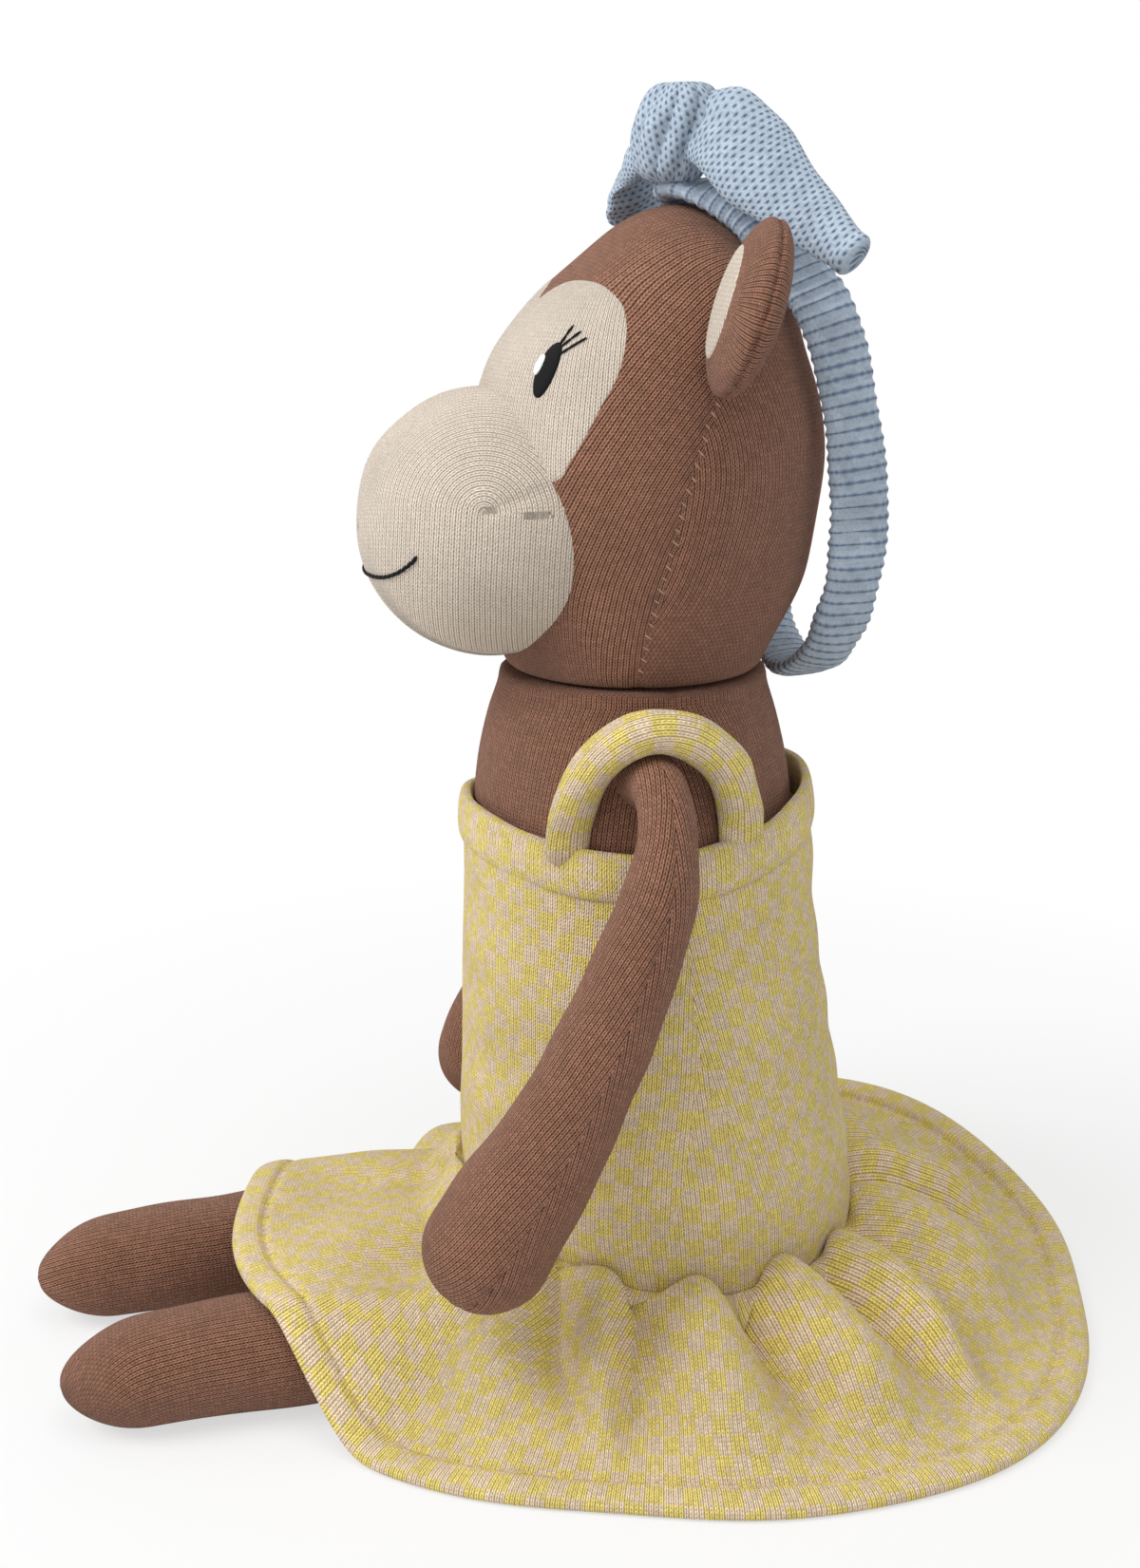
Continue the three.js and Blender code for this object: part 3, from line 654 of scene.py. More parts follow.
@dataclass(frozen=True)
class Garter(Stockinette):
    """Soft thick knit with a small hollow between the loops of each row, darkened by painted shade.

    Pit squeezes each hollow across and up, hollow is its depth, and rib is the depth of the line
    between two rows, which the painted shade darkens too.
    """

    pit: tuple[float, float] = (1.0, 1.3)
    hollow: float = 1.0
    rib: float = 0.0

    def cell(self, graph: Graph) -> dict[str, bpy.types.NodeSocket]:
        """Lay the bumps out from the piece's knit coordinates."""
        across, up = graph.knit_place()
        up = graph.math("DIVIDE", graph.math("ADD", up, self.wander(graph, 90.0)), self.course)
        row = graph.math("FLOOR", up)
        shift = graph.math("MULTIPLY", graph.math("FLOORED_MODULO", row, 2.0), 0.5)
        across = graph.math("ADD", graph.math("DIVIDE", across, self.wale), shift)
        column = graph.math("FLOOR", across)
        sides = []
        for value, squeeze in ((across, self.pit[0]), (up, self.pit[1])):
            away = graph.math("MULTIPLY", graph.math("SUBTRACT", graph.math("FRACT", value), 0.5), squeeze)
            sides.append(graph.math("MULTIPLY", away, away))
        from_pit = graph.math("SQRT", graph.math("ADD", *sides))
        pit = graph.fit(from_pit, 0.1, 0.44, 1.0 - self.hollow, 1.0)
        valley = graph.math("ABSOLUTE", graph.math("SUBTRACT", graph.math("FRACT", up), 0.5))
        row_edge = graph.fit(valley, 0.0, 0.2, 1.0 - self.rib, 1.0)
        return {"height": graph.math("MULTIPLY", pit, row_edge), "wale": column, "course": row}


@dataclass(frozen=True)
class Thread:
    """Plied sewing or embroidery thread."""

    name: str
    slot: str
    colour: tuple[float, float, float, float]
    roughness: float = 0.5
    sheen: float = 0.2
    ply: float = 900.0

    def material(self) -> bpy.types.Material:
        """Make the finish."""
        graph = Graph(self.name)
        fibre = graph.noise(self.ply, 3.0)
        tone = graph.fit(fibre, 0.3, 0.7, 0.8, 1.2)
        graph.shade(self.colour, tone)
        rough = graph.fit(fibre, 0.0, 1.0, self.roughness, self.roughness + 0.2)
        graph.feed(graph.shader.inputs["Roughness"], rough)
        graph.shader.inputs["Specular IOR Level"].default_value = 0.2
        graph.shader.inputs["Sheen Weight"].default_value = self.sheen
        graph.raise_surface(fibre, 0.1, 0.6)
        return graph.material


# The second colour of each knit is painted shade for the valleys between its stitches; on the checked knit it
# is partly the yarn seen in the gaps.
BROWN_KNIT = Stockinette(
    "brown_stockinette", "brown_knit", srgb(178, 127, 102), srgb(26, 12, 8), relief=0.5, heather=0.28,
)
CREAM_KNIT = Stockinette(
    "cream_stockinette", "cream_knit", srgb(236, 226, 213), srgb(150, 128, 104), heather=0.08, drift=0.5,
)
DRESS_KNIT = Jacquard(
    "yellow_checked_knit",
    "yellow_jacquard",
    srgb(255, 240, 142),
    srgb(180, 143, 60),
    wale=1.35,
    relief=0.4,
    other=srgb(252, 234, 208),
    other_shaded_valley=srgb(186, 149, 110),
    heather=0.18,
    drift=0.5,
    stray=0.05,
)
BOW_KNIT = Garter(
    "blue_moss_knit", "blue_knit", srgb(172, 186, 200), srgb(66, 93, 131),
    wale=2.1, course=1.65, relief=0.45, drift=1.0, hollow=0.85,
)
BAND_KNIT = Garter(
    "blue_garter_knit", "blue_knit", srgb(170, 183, 197), srgb(76, 98, 130),
    wale=2.3, course=3.2, relief=0.5, drift=0.4, pit=(1.2, 1.3), hollow=0.4, rib=0.75,
)
BLACK_THREAD = Thread("black_satin_thread", "brown_knit", srgb(16, 15, 17), 0.7, 0.0)
WHITE_THREAD = Thread("white_satin_thread", "cream_knit", srgb(235, 236, 238), 0.6, 0.0)
SEAM_THREAD = Thread("pale_seam_thread", "brown_knit", srgb(176, 140, 118), 0.8)
HEM_THREAD = Thread("yellow_hem_thread", "yellow_jacquard", srgb(214, 192, 132), 0.8)


class Yarns:
    """Makes each finish once."""

    def __init__(self) -> None:
        """Start with no finish made."""
        self.made: dict[str, bpy.types.Material] = {}

    def of(self, finish: Stockinette | Thread) -> bpy.types.Material:
        """Give the material of a finish."""
        if finish.name not in self.made:
            self.made[finish.name] = finish.material()
        return self.made[finish.name]


YARNS = Yarns()


# Forms

@dataclass
class Sweep:
    """A stuffed limb along a line, round or flattened, with rounded ends.

    Attributes:
        line: The limb's middle line in mm.
        wide: Half width in mm by share of the length.
        tall: Half height in mm by share of the length.
        sideways: Direction of the width.
        seam: Angle of the seam from the width's direction, in radians. The table starts there.
        blunt: Shares of the half height over which each end rounds.
        herringbone: How fast the wales spread from the line opposite the seam.
    """

    line: Line
    wide: Callable[[Array], Array]
    tall: Callable[[Array], Array]
    sideways: tuple[float, float, float]
    seam: float = 0.0
    blunt: tuple[float, float] = (1.0, 1.0)
    herringbone: float = 0.0

    def rows(self, count: int) -> Array:
        """Give the shares of the length for even rows over the outline, ends included."""
        dense = np.linspace(0, 1, 1200)
        outline = Line(np.stack([self.shrink(dense) * self.wide(dense), dense * self.line.length], -1))
        return outline.at(np.linspace(0, 1, count + 1))[:, 1] / self.line.length

    def shrink(self, share: Array) -> Array:
        """Give the rounding of the ends at shares of the length."""
        place = share * self.line.length
        start = place / max(float(self.tall(np.array(0.0))) * self.blunt[0], 0.01)
        end = (self.line.length - place) / max(float(self.tall(np.array(1.0))) * self.blunt[1], 0.01)
        inside = np.clip(np.minimum(start, end), 0, 1)
        return np.sqrt(np.maximum(1 - (1 - inside) ** 2, 0))

    def places(self, low: float, high: float, count: int, rows: int) -> Array:
        """Give the numbers of the table's rows at even shares of the length."""
        index = np.interp(np.linspace(low, high, count), self.rows(rows), np.arange(rows + 1))
        return np.rint(index).astype(int)

    def piece(self, name: str, columns: int, rows: int) -> bpy.types.Object:
        """Knit the limb."""
        return knit_piece(name, self.table(columns, rows), self.knitter(rows))

    def table(self, columns: int, rows: int) -> Array:
        """Lay out the limb's points.

        Args:
            columns: Faces round.
            rows: Faces along.

        Returns:
            Points in mm (rows + 1, columns + 1, 3).
        """
        share = self.rows(rows)
        middle = self.line.at(share)
        along = self.line.along(share)
        side = np.array(self.sideways, float)
        across = unit(side - along * (along @ side)[:, None])
        over = np.cross(along, across)
        angle = self.seam + np.linspace(0, 2 * math.pi, columns + 1)
        shrink = self.shrink(share)
        wide = (shrink * self.wide(share))[:, None, None] * np.cos(angle)[None, :, None]
        tall = (shrink * self.tall(share))[:, None, None] * np.sin(angle)[None, :, None]
        return middle[:, None] + across[:, None] * wide + over[:, None] * tall

    def knitter(self, rows: int) -> Knitter:
        """Lay wales along the limb, straight at its middle and cut at its seam.

        Args:
            rows: Faces along, as in the table.

        Returns:
            The knitter.
        """
        shares = self.rows(rows)
        half = self.shrink(shares) * (self.wide(shares) + self.tall(shares)) / 2
        length = self.line.length

        def knit(spots: Spots) -> Array:
            """Give the place in the knit."""
            radius = np.interp(spots.along * rows, np.arange(rows + 1), half)
            down = np.interp(spots.along * rows, np.arange(rows + 1), shares) * length
            side = np.where(spots.mid_around < 0.5, -1.0, 1.0)
            across = (spots.around - 0.5) * 2 * math.pi * radius
            return np.stack([across - side * self.herringbone * down, down], -1)

        return knit


def planar_knitter(across: int, up: int) -> Knitter:
    """Lay wales straight, by two axes of the frame."""
    def knit(spots: Spots) -> Array:
        """Give the place in the knit."""
        return np.stack([spots.points[:, across], spots.points[:, up]], -1)

    return knit


@dataclass(frozen=True)
class Stitch:
    """A kind of stitch.

    Attributes:
        pitch: Distance in mm from one stitch to the next.
        width: Width of the thread in mm.
        slant: Angle in degrees from the path to each stitch.
        cover: Length of a stitch as a share of the pitch.
        lift: Height in mm of the stitch's middle over the surface.
        inside: Share of the path's ends left out.
    """

    pitch: float
    width: float
    slant: float = 0.0
    cover: float = 0.8
    lift: float = 0.0
    inside: float = 0.0


LASH_STITCH = Stitch(2.9, 0.7, cover=1.35, lift=0.3)
SMILE_STITCH = Stitch(2.3, 1.15, slant=7.0, cover=1.55, lift=0.25)
SEAM_STITCH = Stitch(3.6, 0.55, slant=62.0, cover=0.75, inside=0.03)
HEM_STITCH = Stitch(3.2, 0.5, slant=62.0)


class Stitcher:
    """Lays sewing and embroidery stitches on pieces."""

    def __init__(self) -> None:
        """Start with no stitch made."""
        self.pattern: bpy.types.Object | None = None

    def one(self) -> bpy.types.Object:
        """Model one plump stitch, a unit long, once."""
        if self.pattern is None:
            begin()
            bpy.ops.mesh.primitive_uv_sphere_add(segments=8, ring_count=6, radius=0.5)
            stitch = bpy.context.object
            stitch.name = "stitch_pattern"
            bpy.ops.object.shade_smooth()
            self.pattern = stitch
        return self.pattern

    def sew(self, name: str, path: Array, ground: bpy.types.Object, stitch: Stitch) -> bpy.types.Object:
        """Lay a run of stitches along a path on a piece.

        Args:
            name: Name of the new piece.
            path: Points in mm near the piece's surface.
            ground: The piece that carries the stitches.
            stitch: The kind of stitch.

        Returns:
            The joined run.
        """
        line = Line(curve_through(path, 16))
        count = max(int(line.length / stitch.pitch), 1)
        shares = lerp(stitch.inside, 1 - stitch.inside, (np.arange(count) + 0.5) / count)
        long, wide = stitch.pitch * stitch.cover * MM, stitch.width * MM
        size = Matrix.Diagonal((long, wide, wide * 0.9, 1.0))
        pattern = self.one()
        copies = []
        for middle, along in zip(line.at(shares), line.along(shares)):
            found, place, normal, _ = ground.closest_point_on_mesh(Vector(middle * MM))
            if not found:
                continue
            direction = Vector(along)
            direction = (direction - normal * direction.dot(normal)).normalized()
            direction = Matrix.Rotation(math.radians(stitch.slant), 3, normal) @ direction
            across = normal.cross(direction)
            turn = Matrix((direction, across, normal)).transposed().to_4x4()
            copy = pattern.copy()
            copy.data = pattern.data.copy()
            bpy.context.collection.objects.link(copy)
            copy.matrix_world = Matrix.Translation(place + normal * stitch.lift * MM) @ turn @ size
            copies.append(copy)
        bpy.context.view_layer.update()
        choose(*copies)
        bpy.ops.object.join()
        bpy.ops.object.transform_apply(location=True, rotation=True, scale=True)
        run = bpy.context.object
        run.name = name
        run.data.name = name
        return run

    def put_away(self) -> None:
        """Remove the pattern stitch."""
        if self.pattern is not None:
            bpy.data.objects.remove(self.pattern)
            self.pattern = None


STITCHER = Stitcher()


# The doll

@dataclass
class Trunk:
    """The torso and the two hip flaps, in mm."""

    neck_height: float = 204.0
    lean: float = 12.0
    shoulder_height: float = 176.0
    leg_spacing: float = 60.0
    leg_middle: float = 16.0
    hip_fold: float = 56.5
    hip_half_width: float = 15.5
    flap_wall: tuple[tuple[float, float], ...] = ((0, 1.8), (0.8, 1.8), (0.9, 3.0), (1, 3.8))
    flap_reach: float = 3.6
    outline: tuple[tuple[float, float], ...] = (
        (0, 0), (24, 0), (38, 0.3), (45, 3.4), (50.4, 10), (54.6, 28), (56, 50), (54.6, 72), (52, 95),
        (50.1, 118), (48, 140), (46.6, 158), (44.4, 176), (41.4, 190), (38.4, 199), (37.4, 202.6),
        (36.2, 203.9), (0, 203.9),
    )
    columns: int = 96
    rows: int = 72

    def radius_at(self, height: Array | float) -> Array:
        """Give the torso's radius at a height."""
        side = np.array(self.outline[3:-3])
        dense = curve_through(side, 16)
        return np.interp(height, dense[:, 1], dense[:, 0])

    def lean_at(self, height: Array | float) -> Array:
        """Give the place along Y of the torso's middle at a height."""
        return -self.lean * smoothstep(height, 0, self.shoulder_height)

    def round_at(self, angle: Array, radius: Array, height: Array) -> Array:
        """Give points round the torso, by angle from +X toward +Y."""
        x = radius * np.cos(angle)
        y = self.lean_at(height) + radius * np.sin(angle)
        return np.stack(np.broadcast_arrays(x, y, height), -1)

    def build(self) -> None:
        """Make the torso with its side seams, and the flat flaps that the legs are sewn to."""
        outline = Line(curve_through(np.array(self.outline, float), 16))
        shares = outline.at(np.linspace(0, 1, self.rows + 1))
        radius, height = np.maximum(shares[:, 0], 0), np.maximum(shares[:, 1], 0)
        angle = np.linspace(0, 2 * math.pi, self.columns + 1) - math.pi * 1.5
        table = self.round_at(angle[None, :], radius[:, None], height[:, None])

        def knit(spots: Spots) -> Array:
            """Lay the wales upright on a front and a back panel."""
            turn = spots.around * 2 * math.pi
            panel = np.rint(spots.mid_around * 2) * math.pi
            reach = np.interp(spots.along * self.rows, np.arange(self.rows + 1), radius)
            return np.stack([(turn - panel) * reach, spots.along * outline.length], -1)

        torso = knit_piece("torso_cover", table, knit)
        stuff(torso, [self.side_seam(side) for side in Side])
        make_finer(torso)
        swell(torso, lambda points: 0.5 * lumps(points, 42, 3) * smoothstep(points[:, 2], 2, 20))
        keep_level(torso, self.neck_height)
        for side in Side:
            press_seam(torso, self.side_seam(side), 0.9, 1.6)
            flap = self.flap(side)
            finish_piece(flap, Body.TRUNK, BROWN_KNIT)
        finish_piece(torso, Body.TRUNK, BROWN_KNIT, ["torso"])

    def side_seam(self, side: Side) -> Array:
        """Give the seam up one side."""
        heights = np.linspace(30, 203, 12)
        return np.stack([self.radius_at(heights) * side.value, self.lean_at(heights), heights], -1)

    def flap(self, side: Side) -> bpy.types.Object:
        """Make the unstuffed flap that a leg folds at."""
        x = side.value * self.leg_spacing / 2
        ends = (-self.hip_fold / 2, -self.hip_fold - self.flap_reach)
        line = Line(np.array([(x, y, self.leg_middle) for y in ends]))
        wide = stations([(0, self.hip_half_width), (1, self.hip_half_width)])
        sweep = Sweep(line, wide, stations(self.flap_wall), (1, 0, 0))
        return sweep.piece(f"hip_flap_{side.label}", 40, 24)


@dataclass
class Face:
    """The head with its muzzle, face patch, ears and embroidery, in mm."""

    base: float = 204.3
    middle: float = -8.0
    height: float = 126.0
    radius: float = 50.0
    depth_share: float = 0.98
    base_radius: float = 37.0
    neck_middle: float = -12.0
    widest: float = 58.0
    low_power: float = 1.7
    high_power: float = 1.85
    muzzle_radius: float = 37.0
    muzzle_level: float = 42.0
    muzzle_reach: float = 82.0
    muzzle_dome: float = 38.0
    muzzle_power: float = 2.1
    ear_offset: float = 57.0
    ear_level: float = 101.0
    ear_half: tuple[float, float] = (22.0, 23.0)
    ear_thickness: float = 15.0
    ear_tilt: float = 17.0
    ear_turn: float = 8.0
    ear_setback: float = 8.0
    crown_setback: float = 8.0
    forehead_level: float = 85.0
    crown_level: float = 120.0
    lining_half: tuple[float, float] = (12.0, 14.6)
    lining_inward: float = 2.5
    lining_proud: float = 0.3

    def radius_at(self, level: Array) -> Array:
        """Give the head's radius at a level above the neck seam."""
        level = np.asarray(level, float)
        below = np.clip(1 - level / self.widest, 0, 1)
        low = self.base_radius + (self.radius - self.base_radius) * (1 - below**self.low_power)
        above = np.clip((level - self.widest) / (self.height - self.widest), 0, 1)
        high = self.radius * (1 - above**self.high_power) ** (1 / self.high_power)
        return np.where(level < self.widest, low, high)

    def middle_at(self, level: Array) -> Array:
        """Give the place along Y of the head's middle, which runs back twice on its way to the crown."""
        low = lerp(self.neck_middle, self.middle, smoothstep(level, 0, 30))
        return low + self.crown_setback * smoothstep(level, self.forehead_level, self.crown_level)

    def front(self, x: Array, z: Array, grow: Array | float = 0.0) -> Array:
        """Give points on the front of the head over a place in X and Z."""
        level = np.clip(z - self.base, 0, self.height)
        reach = self.radius_at(level) + grow
        depth = np.sqrt(np.maximum(reach**2 - x**2, 0)) * self.depth_share
        return np.stack(np.broadcast_arrays(x, self.middle_at(level) - depth, z), -1)

    def build(self) -> None:
        """Make every piece of the head."""
        head = self.build_head()
        muzzle = self.build_muzzle()
        patch = self.build_patch()
        for side in Side:
            self.build_ear(side)
            self.embroider_eye(side, patch)
        self.embroider_mouth(muzzle)
        self.sew_seams(head)

    def unevenness(self, points: Array) -> Array:
        """Give the gentle unevenness of the head's stuffing."""
        return 0.45 * lumps(points, 38, 11) * smoothstep(points[:, 2], 206, 220)

    def face_knit(self, spots: Spots) -> Array:
        """Lay the wales upright at the middle of the face, and in arcs round the nape beside it."""
        x, y, z = spots.points.T
        ring = np.hypot(60 - y, z - 215)
        beside = smoothstep(np.abs(x), 10, 35)
        u = np.sign(x) * lerp(np.abs(x), 150 - ring, beside)
        return np.stack([u, np.arctan2(z - 215, 60 - y) * 112], -1)

    def behind_seam(self, points: Array) -> Array:
        """Tell which points lie behind the side seams."""
        seam = self.side_seam(Side.LEFT)[::-1]
        return points[:, 1] > np.interp(points[:, 2], seam[:, 2], seam[:, 1])

    def side_seam(self, side: Side) -> Array:
        """Give the seam from under the ear down to the neck."""
        points = [
            (40, 6, 300), (46, -1, 288), (49, -8, 272), (49, -13, 256), (47.5, -15.5, 244), (43.7, -18, 231),
            (38.5, -20, 217), (35, -21, 206),
        ]
        return np.array([(side.value * x, y, z) for x, y, z in points], float)

    def build_head(self) -> bpy.types.Object:
        """Make the head, closed under at the neck seam."""
        rows, columns = 72, 96
        rise = np.sin(np.linspace(0.03, 1, 60) * math.pi / 2)
        upper = self.widest + (self.height - self.widest) * rise
        levels = np.concatenate([np.linspace(2, self.widest, 30), upper])
        side = [(self.radius_at(level), level) for level in levels]
        outline = Line(np.array([(0, 0.3), (24, 0.3), (35.9, 0.3), (37.0, 0.8), *side], float))
        stops = outline.at(np.linspace(0, 1, rows + 1))
        angle = np.linspace(0, 2 * math.pi, columns + 1) + math.pi / 2
        x = stops[:, :1] * np.cos(angle)
        y = self.middle_at(stops[:, 1:2]) + stops[:, :1] * self.depth_share * np.sin(angle)
        z = np.broadcast_to(self.base + stops[:, 1:2], x.shape)

        def knit(spots: Spots) -> Array:
            """Curve the wales round the face, and lay them upright on the back."""
            turn = ((spots.around - spots.mid_around + (spots.mid_around + 0.5) % 1) - 0.5) * 2 * math.pi
            back_u = turn * np.hypot(spots.points[:, 0], spots.points[:, 1] - self.middle)
            back = np.stack([back_u, spots.points[:, 2]], -1)
            return np.where(self.behind_seam(spots.mid_points)[:, None], back, self.face_knit(spots))

        head = knit_piece("head_cover", np.stack([x, y, z], -1), knit)
        make_finer(head)
        swell(head, self.unevenness)
        for side in Side:
            press_seam(head, self.side_seam(side), 0.9, 1.8)
        finish_piece(head, Body.HEAD, BROWN_KNIT, ["head"])
        return head

    def build_muzzle(self) -> bpy.types.Object:
        """Make the bulb on the lower face, with its cheek darts."""
        rows, columns = 72, 120
        start = self.muzzle_reach - self.muzzle_dome
        out = np.sin(np.linspace(0, 1, 60) * math.pi / 2)
        reach = self.muzzle_radius * (1 - out**self.muzzle_power) ** (1 / self.muzzle_power)
        dome = np.stack([reach, start + self.muzzle_dome * out], -1)
        outline = Line(np.array([(0, 18), (30, 18), (35.2, 24), (36.6, 34), *dome], float))
        stops = outline.at(np.linspace(0, 1, rows + 1))
        angle = np.linspace(0, 2 * math.pi, columns + 1)
        level = self.base + self.muzzle_level
        x = stops[:, :1] * np.sin(angle)
        y = np.broadcast_to(self.middle - stops[:, 1:2], x.shape)
        z = level + stops[:, :1] * -np.cos(angle)

        def knit(spots: Spots) -> Array:
            """Bend the wales in arcs over the cheek darts, and drop them straight below."""
            centre = np.array([0, -52, level])
            sign = np.where(spots.mid_points[:, 0] < 0, -1.0, 1.0)
            flip = np.stack([sign, np.ones_like(sign), np.ones_like(sign)], -1)
            here = unit(spots.points * flip - centre)
            there = unit(spots.mid_points * flip - centre)
            tip = unit(np.array([34.7, -62.7, 254.0]) - centre)
            front = unit(np.array([0.0, -1, 0.13]))
            ahead = unit(front - tip * (front @ tip))
            over = np.cross(ahead, tip)
            over = over * np.sign(over[2])
            radius = self.muzzle_radius
            away = radius * np.arccos(np.clip(here @ tip, -1, 1))
            straight = radius * np.arcsin(np.clip(here @ ahead, -1, 1))
            is_over = there @ over > 0
            across = np.where(is_over, away, straight)
            band = np.floor(radius * np.arccos(np.clip(there @ tip, -1, 1)) / 7) * 7 + 3.5
            turn = np.arctan2(here @ over, here @ ahead) * band
            drop = radius * np.arcsin(np.clip(here @ over, -1, 1))
            full = radius * math.acos(float(front @ tip))
            x = spots.points[:, 0]
            share = smoothstep(np.abs(x), 3, 14)
            u = lerp(x, sign * (full - across), share)
            return np.stack([u, np.where(is_over, turn, drop)], -1)

        muzzle = knit_piece("muzzle_cover", np.stack([x, y, z], -1), knit)
        dart = np.array([(36.5, -41, 261), (36, -46, 259.5), (35.5, -54, 257), (34.9, -62.5, 254)], float)
        darts = [dart * np.array([side.value, 1, 1]) for side in Side]
        stuff(muzzle, darts)
        make_finer(muzzle)
        roughen(muzzle, 0.35, 30, 17)
        for path in darts:
            press_seam(muzzle, path, 0.7, 1.5, 0.1)
        finish_piece(muzzle, Body.HEAD, CREAM_KNIT, ["muzzle"])
        return muzzle

    def heart(self) -> Array:
        """Give the patch's outline in X and level, with its point down at the brow."""
        half = [
            (0, 102.5), (3.5, 105), (8, 106.8), (14, 107.2), (21, 106.2), (26.3, 104), (30.8, 101.1),
            (34.2, 97.5), (37, 93.3), (39.4, 87.9), (40.5, 82.5), (40.4, 77), (39.9, 71.4), (38.9, 66.3),
            (37.3, 61.8), (34.5, 57), (20, 52), (0, 50),
        ]
        other = [(-x, level) for x, level in half[-2:0:-1]]
        return curve_through(np.array(half + other, float), 14, closed=True)

    def build_patch(self) -> bpy.types.Object:
        """Make the cream heart that is knitted into the face, flush with the head round it."""
        rows, columns = 60, 300
        edge = Line(self.heart()).at(np.linspace(0, 1, columns + 1))
        middle = np.array([0.0, 78.0])
        share = np.linspace(0, 1, rows + 1)[:, None] ** 0.8
        x = middle[0] + (edge[None, :, 0] - middle[0]) * share
        level = middle[1] + (edge[None, :, 1] - middle[1]) * share
        table = self.front(x, self.base + level, 0.3 - 0.5 * share**60)
        flat = table.reshape(-1, 3)
        out = unit(flat - np.array([0, self.middle, self.base + 62]))
        table = (flat + out * self.unevenness(flat)[:, None]).reshape(table.shape)

        def knit(spots: Spots) -> Array:
            """Lay the wales upright, by the way round the head."""
            turn = np.arctan2(spots.points[:, 0], self.middle - spots.points[:, 1])
            return np.stack([turn * 47, spots.points[:, 2] * 1.06], -1)

        patch = knit_piece("face_patch_cover", table, knit, turn_out=False)
        face_forward(patch)
        add_thickness(patch, 0.6)
        finish_piece(patch, Body.HEAD, CREAM_KNIT, ["face_patch"])
        return patch

    def ear_place(self, side: Side, x: Array, y: Array, z: Array) -> Array:
        """Bring points from an ear's own middle and axes to the head."""
        turn = side.value * math.radians(self.ear_turn)
        x, y = x * math.cos(turn) + y * math.sin(turn), y * math.cos(turn) - x * math.sin(turn)
        tilt = -math.radians(self.ear_tilt)
        return np.stack([
            side.value * self.ear_offset + x,
            self.middle + self.ear_setback + y * math.cos(tilt) - z * math.sin(tilt),
            self.base + self.ear_level + y * math.sin(tilt) + z * math.cos(tilt),
        ], -1)

    def ear_front(self, ring: Array, proud: float = 0.0) -> Array:
        """Give how far the ear's front lies before its rim, by the share of its radius."""
        return self.ear_thickness / 2 * np.sqrt(np.maximum(1 - ring**2, 0)) + proud

    def build_pad(self, side: Side) -> bpy.types.Object:
        """Make an ear: a stuffed disc with a seam round its rim."""
        rows, columns = 48, 80
        bend = np.linspace(0, math.pi, rows + 1)[:, None]
        turn = np.linspace(0, 2 * math.pi, columns + 1)[None, :]
        ring = np.sin(bend)
        y = np.broadcast_to(-np.sign(np.cos(bend)) * self.ear_front(ring), (rows + 1, columns + 1))
        x = ring * np.cos(turn) * self.ear_half[0]
        z = ring * np.sin(turn) * self.ear_half[1]

        def knit(spots: Spots) -> Array:
            """Lay the wales flat on both faces, and over the rim from front to back."""
            on_rim = np.abs(spots.mid_along - 0.5) < 0.29
            over = np.stack([spots.around * 2 * math.pi * 20, spots.along * 52], -1)
            flat = np.stack([spots.points[:, 0], spots.points[:, 2]], -1)
            return np.where(on_rim[:, None], over, flat)

        return knit_piece(f"ear_cover_{side.label}", self.ear_place(side, x, y, z), knit)

    def build_lining(self, side: Side) -> bpy.types.Object:
        """Make the cream lining, flush with the ear's front."""
        rows, columns = 40, 120
        share = np.linspace(0, 1, rows + 1)[:, None]
        turn = np.linspace(0, 2 * math.pi, columns + 1)[None, :]
        across, up = self.lining_half
        x = share * np.cos(turn) * across - side.value * self.lining_inward
        z = share * np.sin(turn) * up
        ring = np.hypot(x / self.ear_half[0], z / self.ear_half[1])
        y = -self.ear_front(ring, self.lining_proud) + 0.6 * share**40
        name = f"ear_lining_cover_{side.label}"
        lining = knit_piece(name, self.ear_place(side, x, y, z), planar_knitter(0, 2), turn_out=False)
        face_forward(lining)
        add_thickness(lining, 0.6)
        return lining

    def ear_rim(self, side: Side) -> Array:
        """Give points round an ear's rim."""
        turn = np.linspace(0, 2 * math.pi, 40)
        across, up = self.ear_half
        return self.ear_place(side, np.cos(turn) * across, 0 * turn, np.sin(turn) * up)

    def build_ear(self, side: Side) -> None:
        """Make an ear and its lining."""
        ear = self.build_pad(side)
        make_finer(ear)
        press_seam(ear, self.ear_rim(side), 1.1, 0.9)
        finish_piece(ear, Body.HEAD, BROWN_KNIT, [f"ear_{side.label}"])
        lining = self.build_lining(side)
        finish_piece(lining, Body.HEAD, CREAM_KNIT, [f"ear_lining_{side.label}"])

    def embroider_eye(self, side: Side, ground: bpy.types.Object) -> None:
        """Sew a satin-stitched eye with its highlight and three lashes."""
        oval = self.off_face(side, [(26.4, -41.0, 296.4), (25.6, -45.9, 282.0)])
        eye = self.satin_oval(f"eye_{side.label}", oval, ground, half=3.5, lift=0.0, proud=1.1)
        finish_piece(eye, Body.HEAD, BLACK_THREAD)
        oval = self.off_face(side, [(24.4, -43.4, 292.6), (23.8, -45.2, 287.2)])
        glint = self.satin_oval(f"eye_glint_{side.label}", oval, ground, half=1.3, lift=1.0, proud=0.5)
        finish_piece(glint, Body.HEAD, WHITE_THREAD)
        lashes = [
            [(26.6, -40.6, 295.4), (27.6, -38.3, 301.2)],
            [(27.6, -40.3, 295.2), (30.6, -37.0, 299.8)],
            [(28.2, -40.6, 293.2), (33.2, -36.4, 298.2)],
        ]
        for number, stroke in enumerate(lashes, 1):
            path = self.off_face(side, stroke)
            lash = STITCHER.sew(f"lash_{side.label}_{number}", path, ground, LASH_STITCH)
            finish_piece(lash, Body.HEAD, BLACK_THREAD)

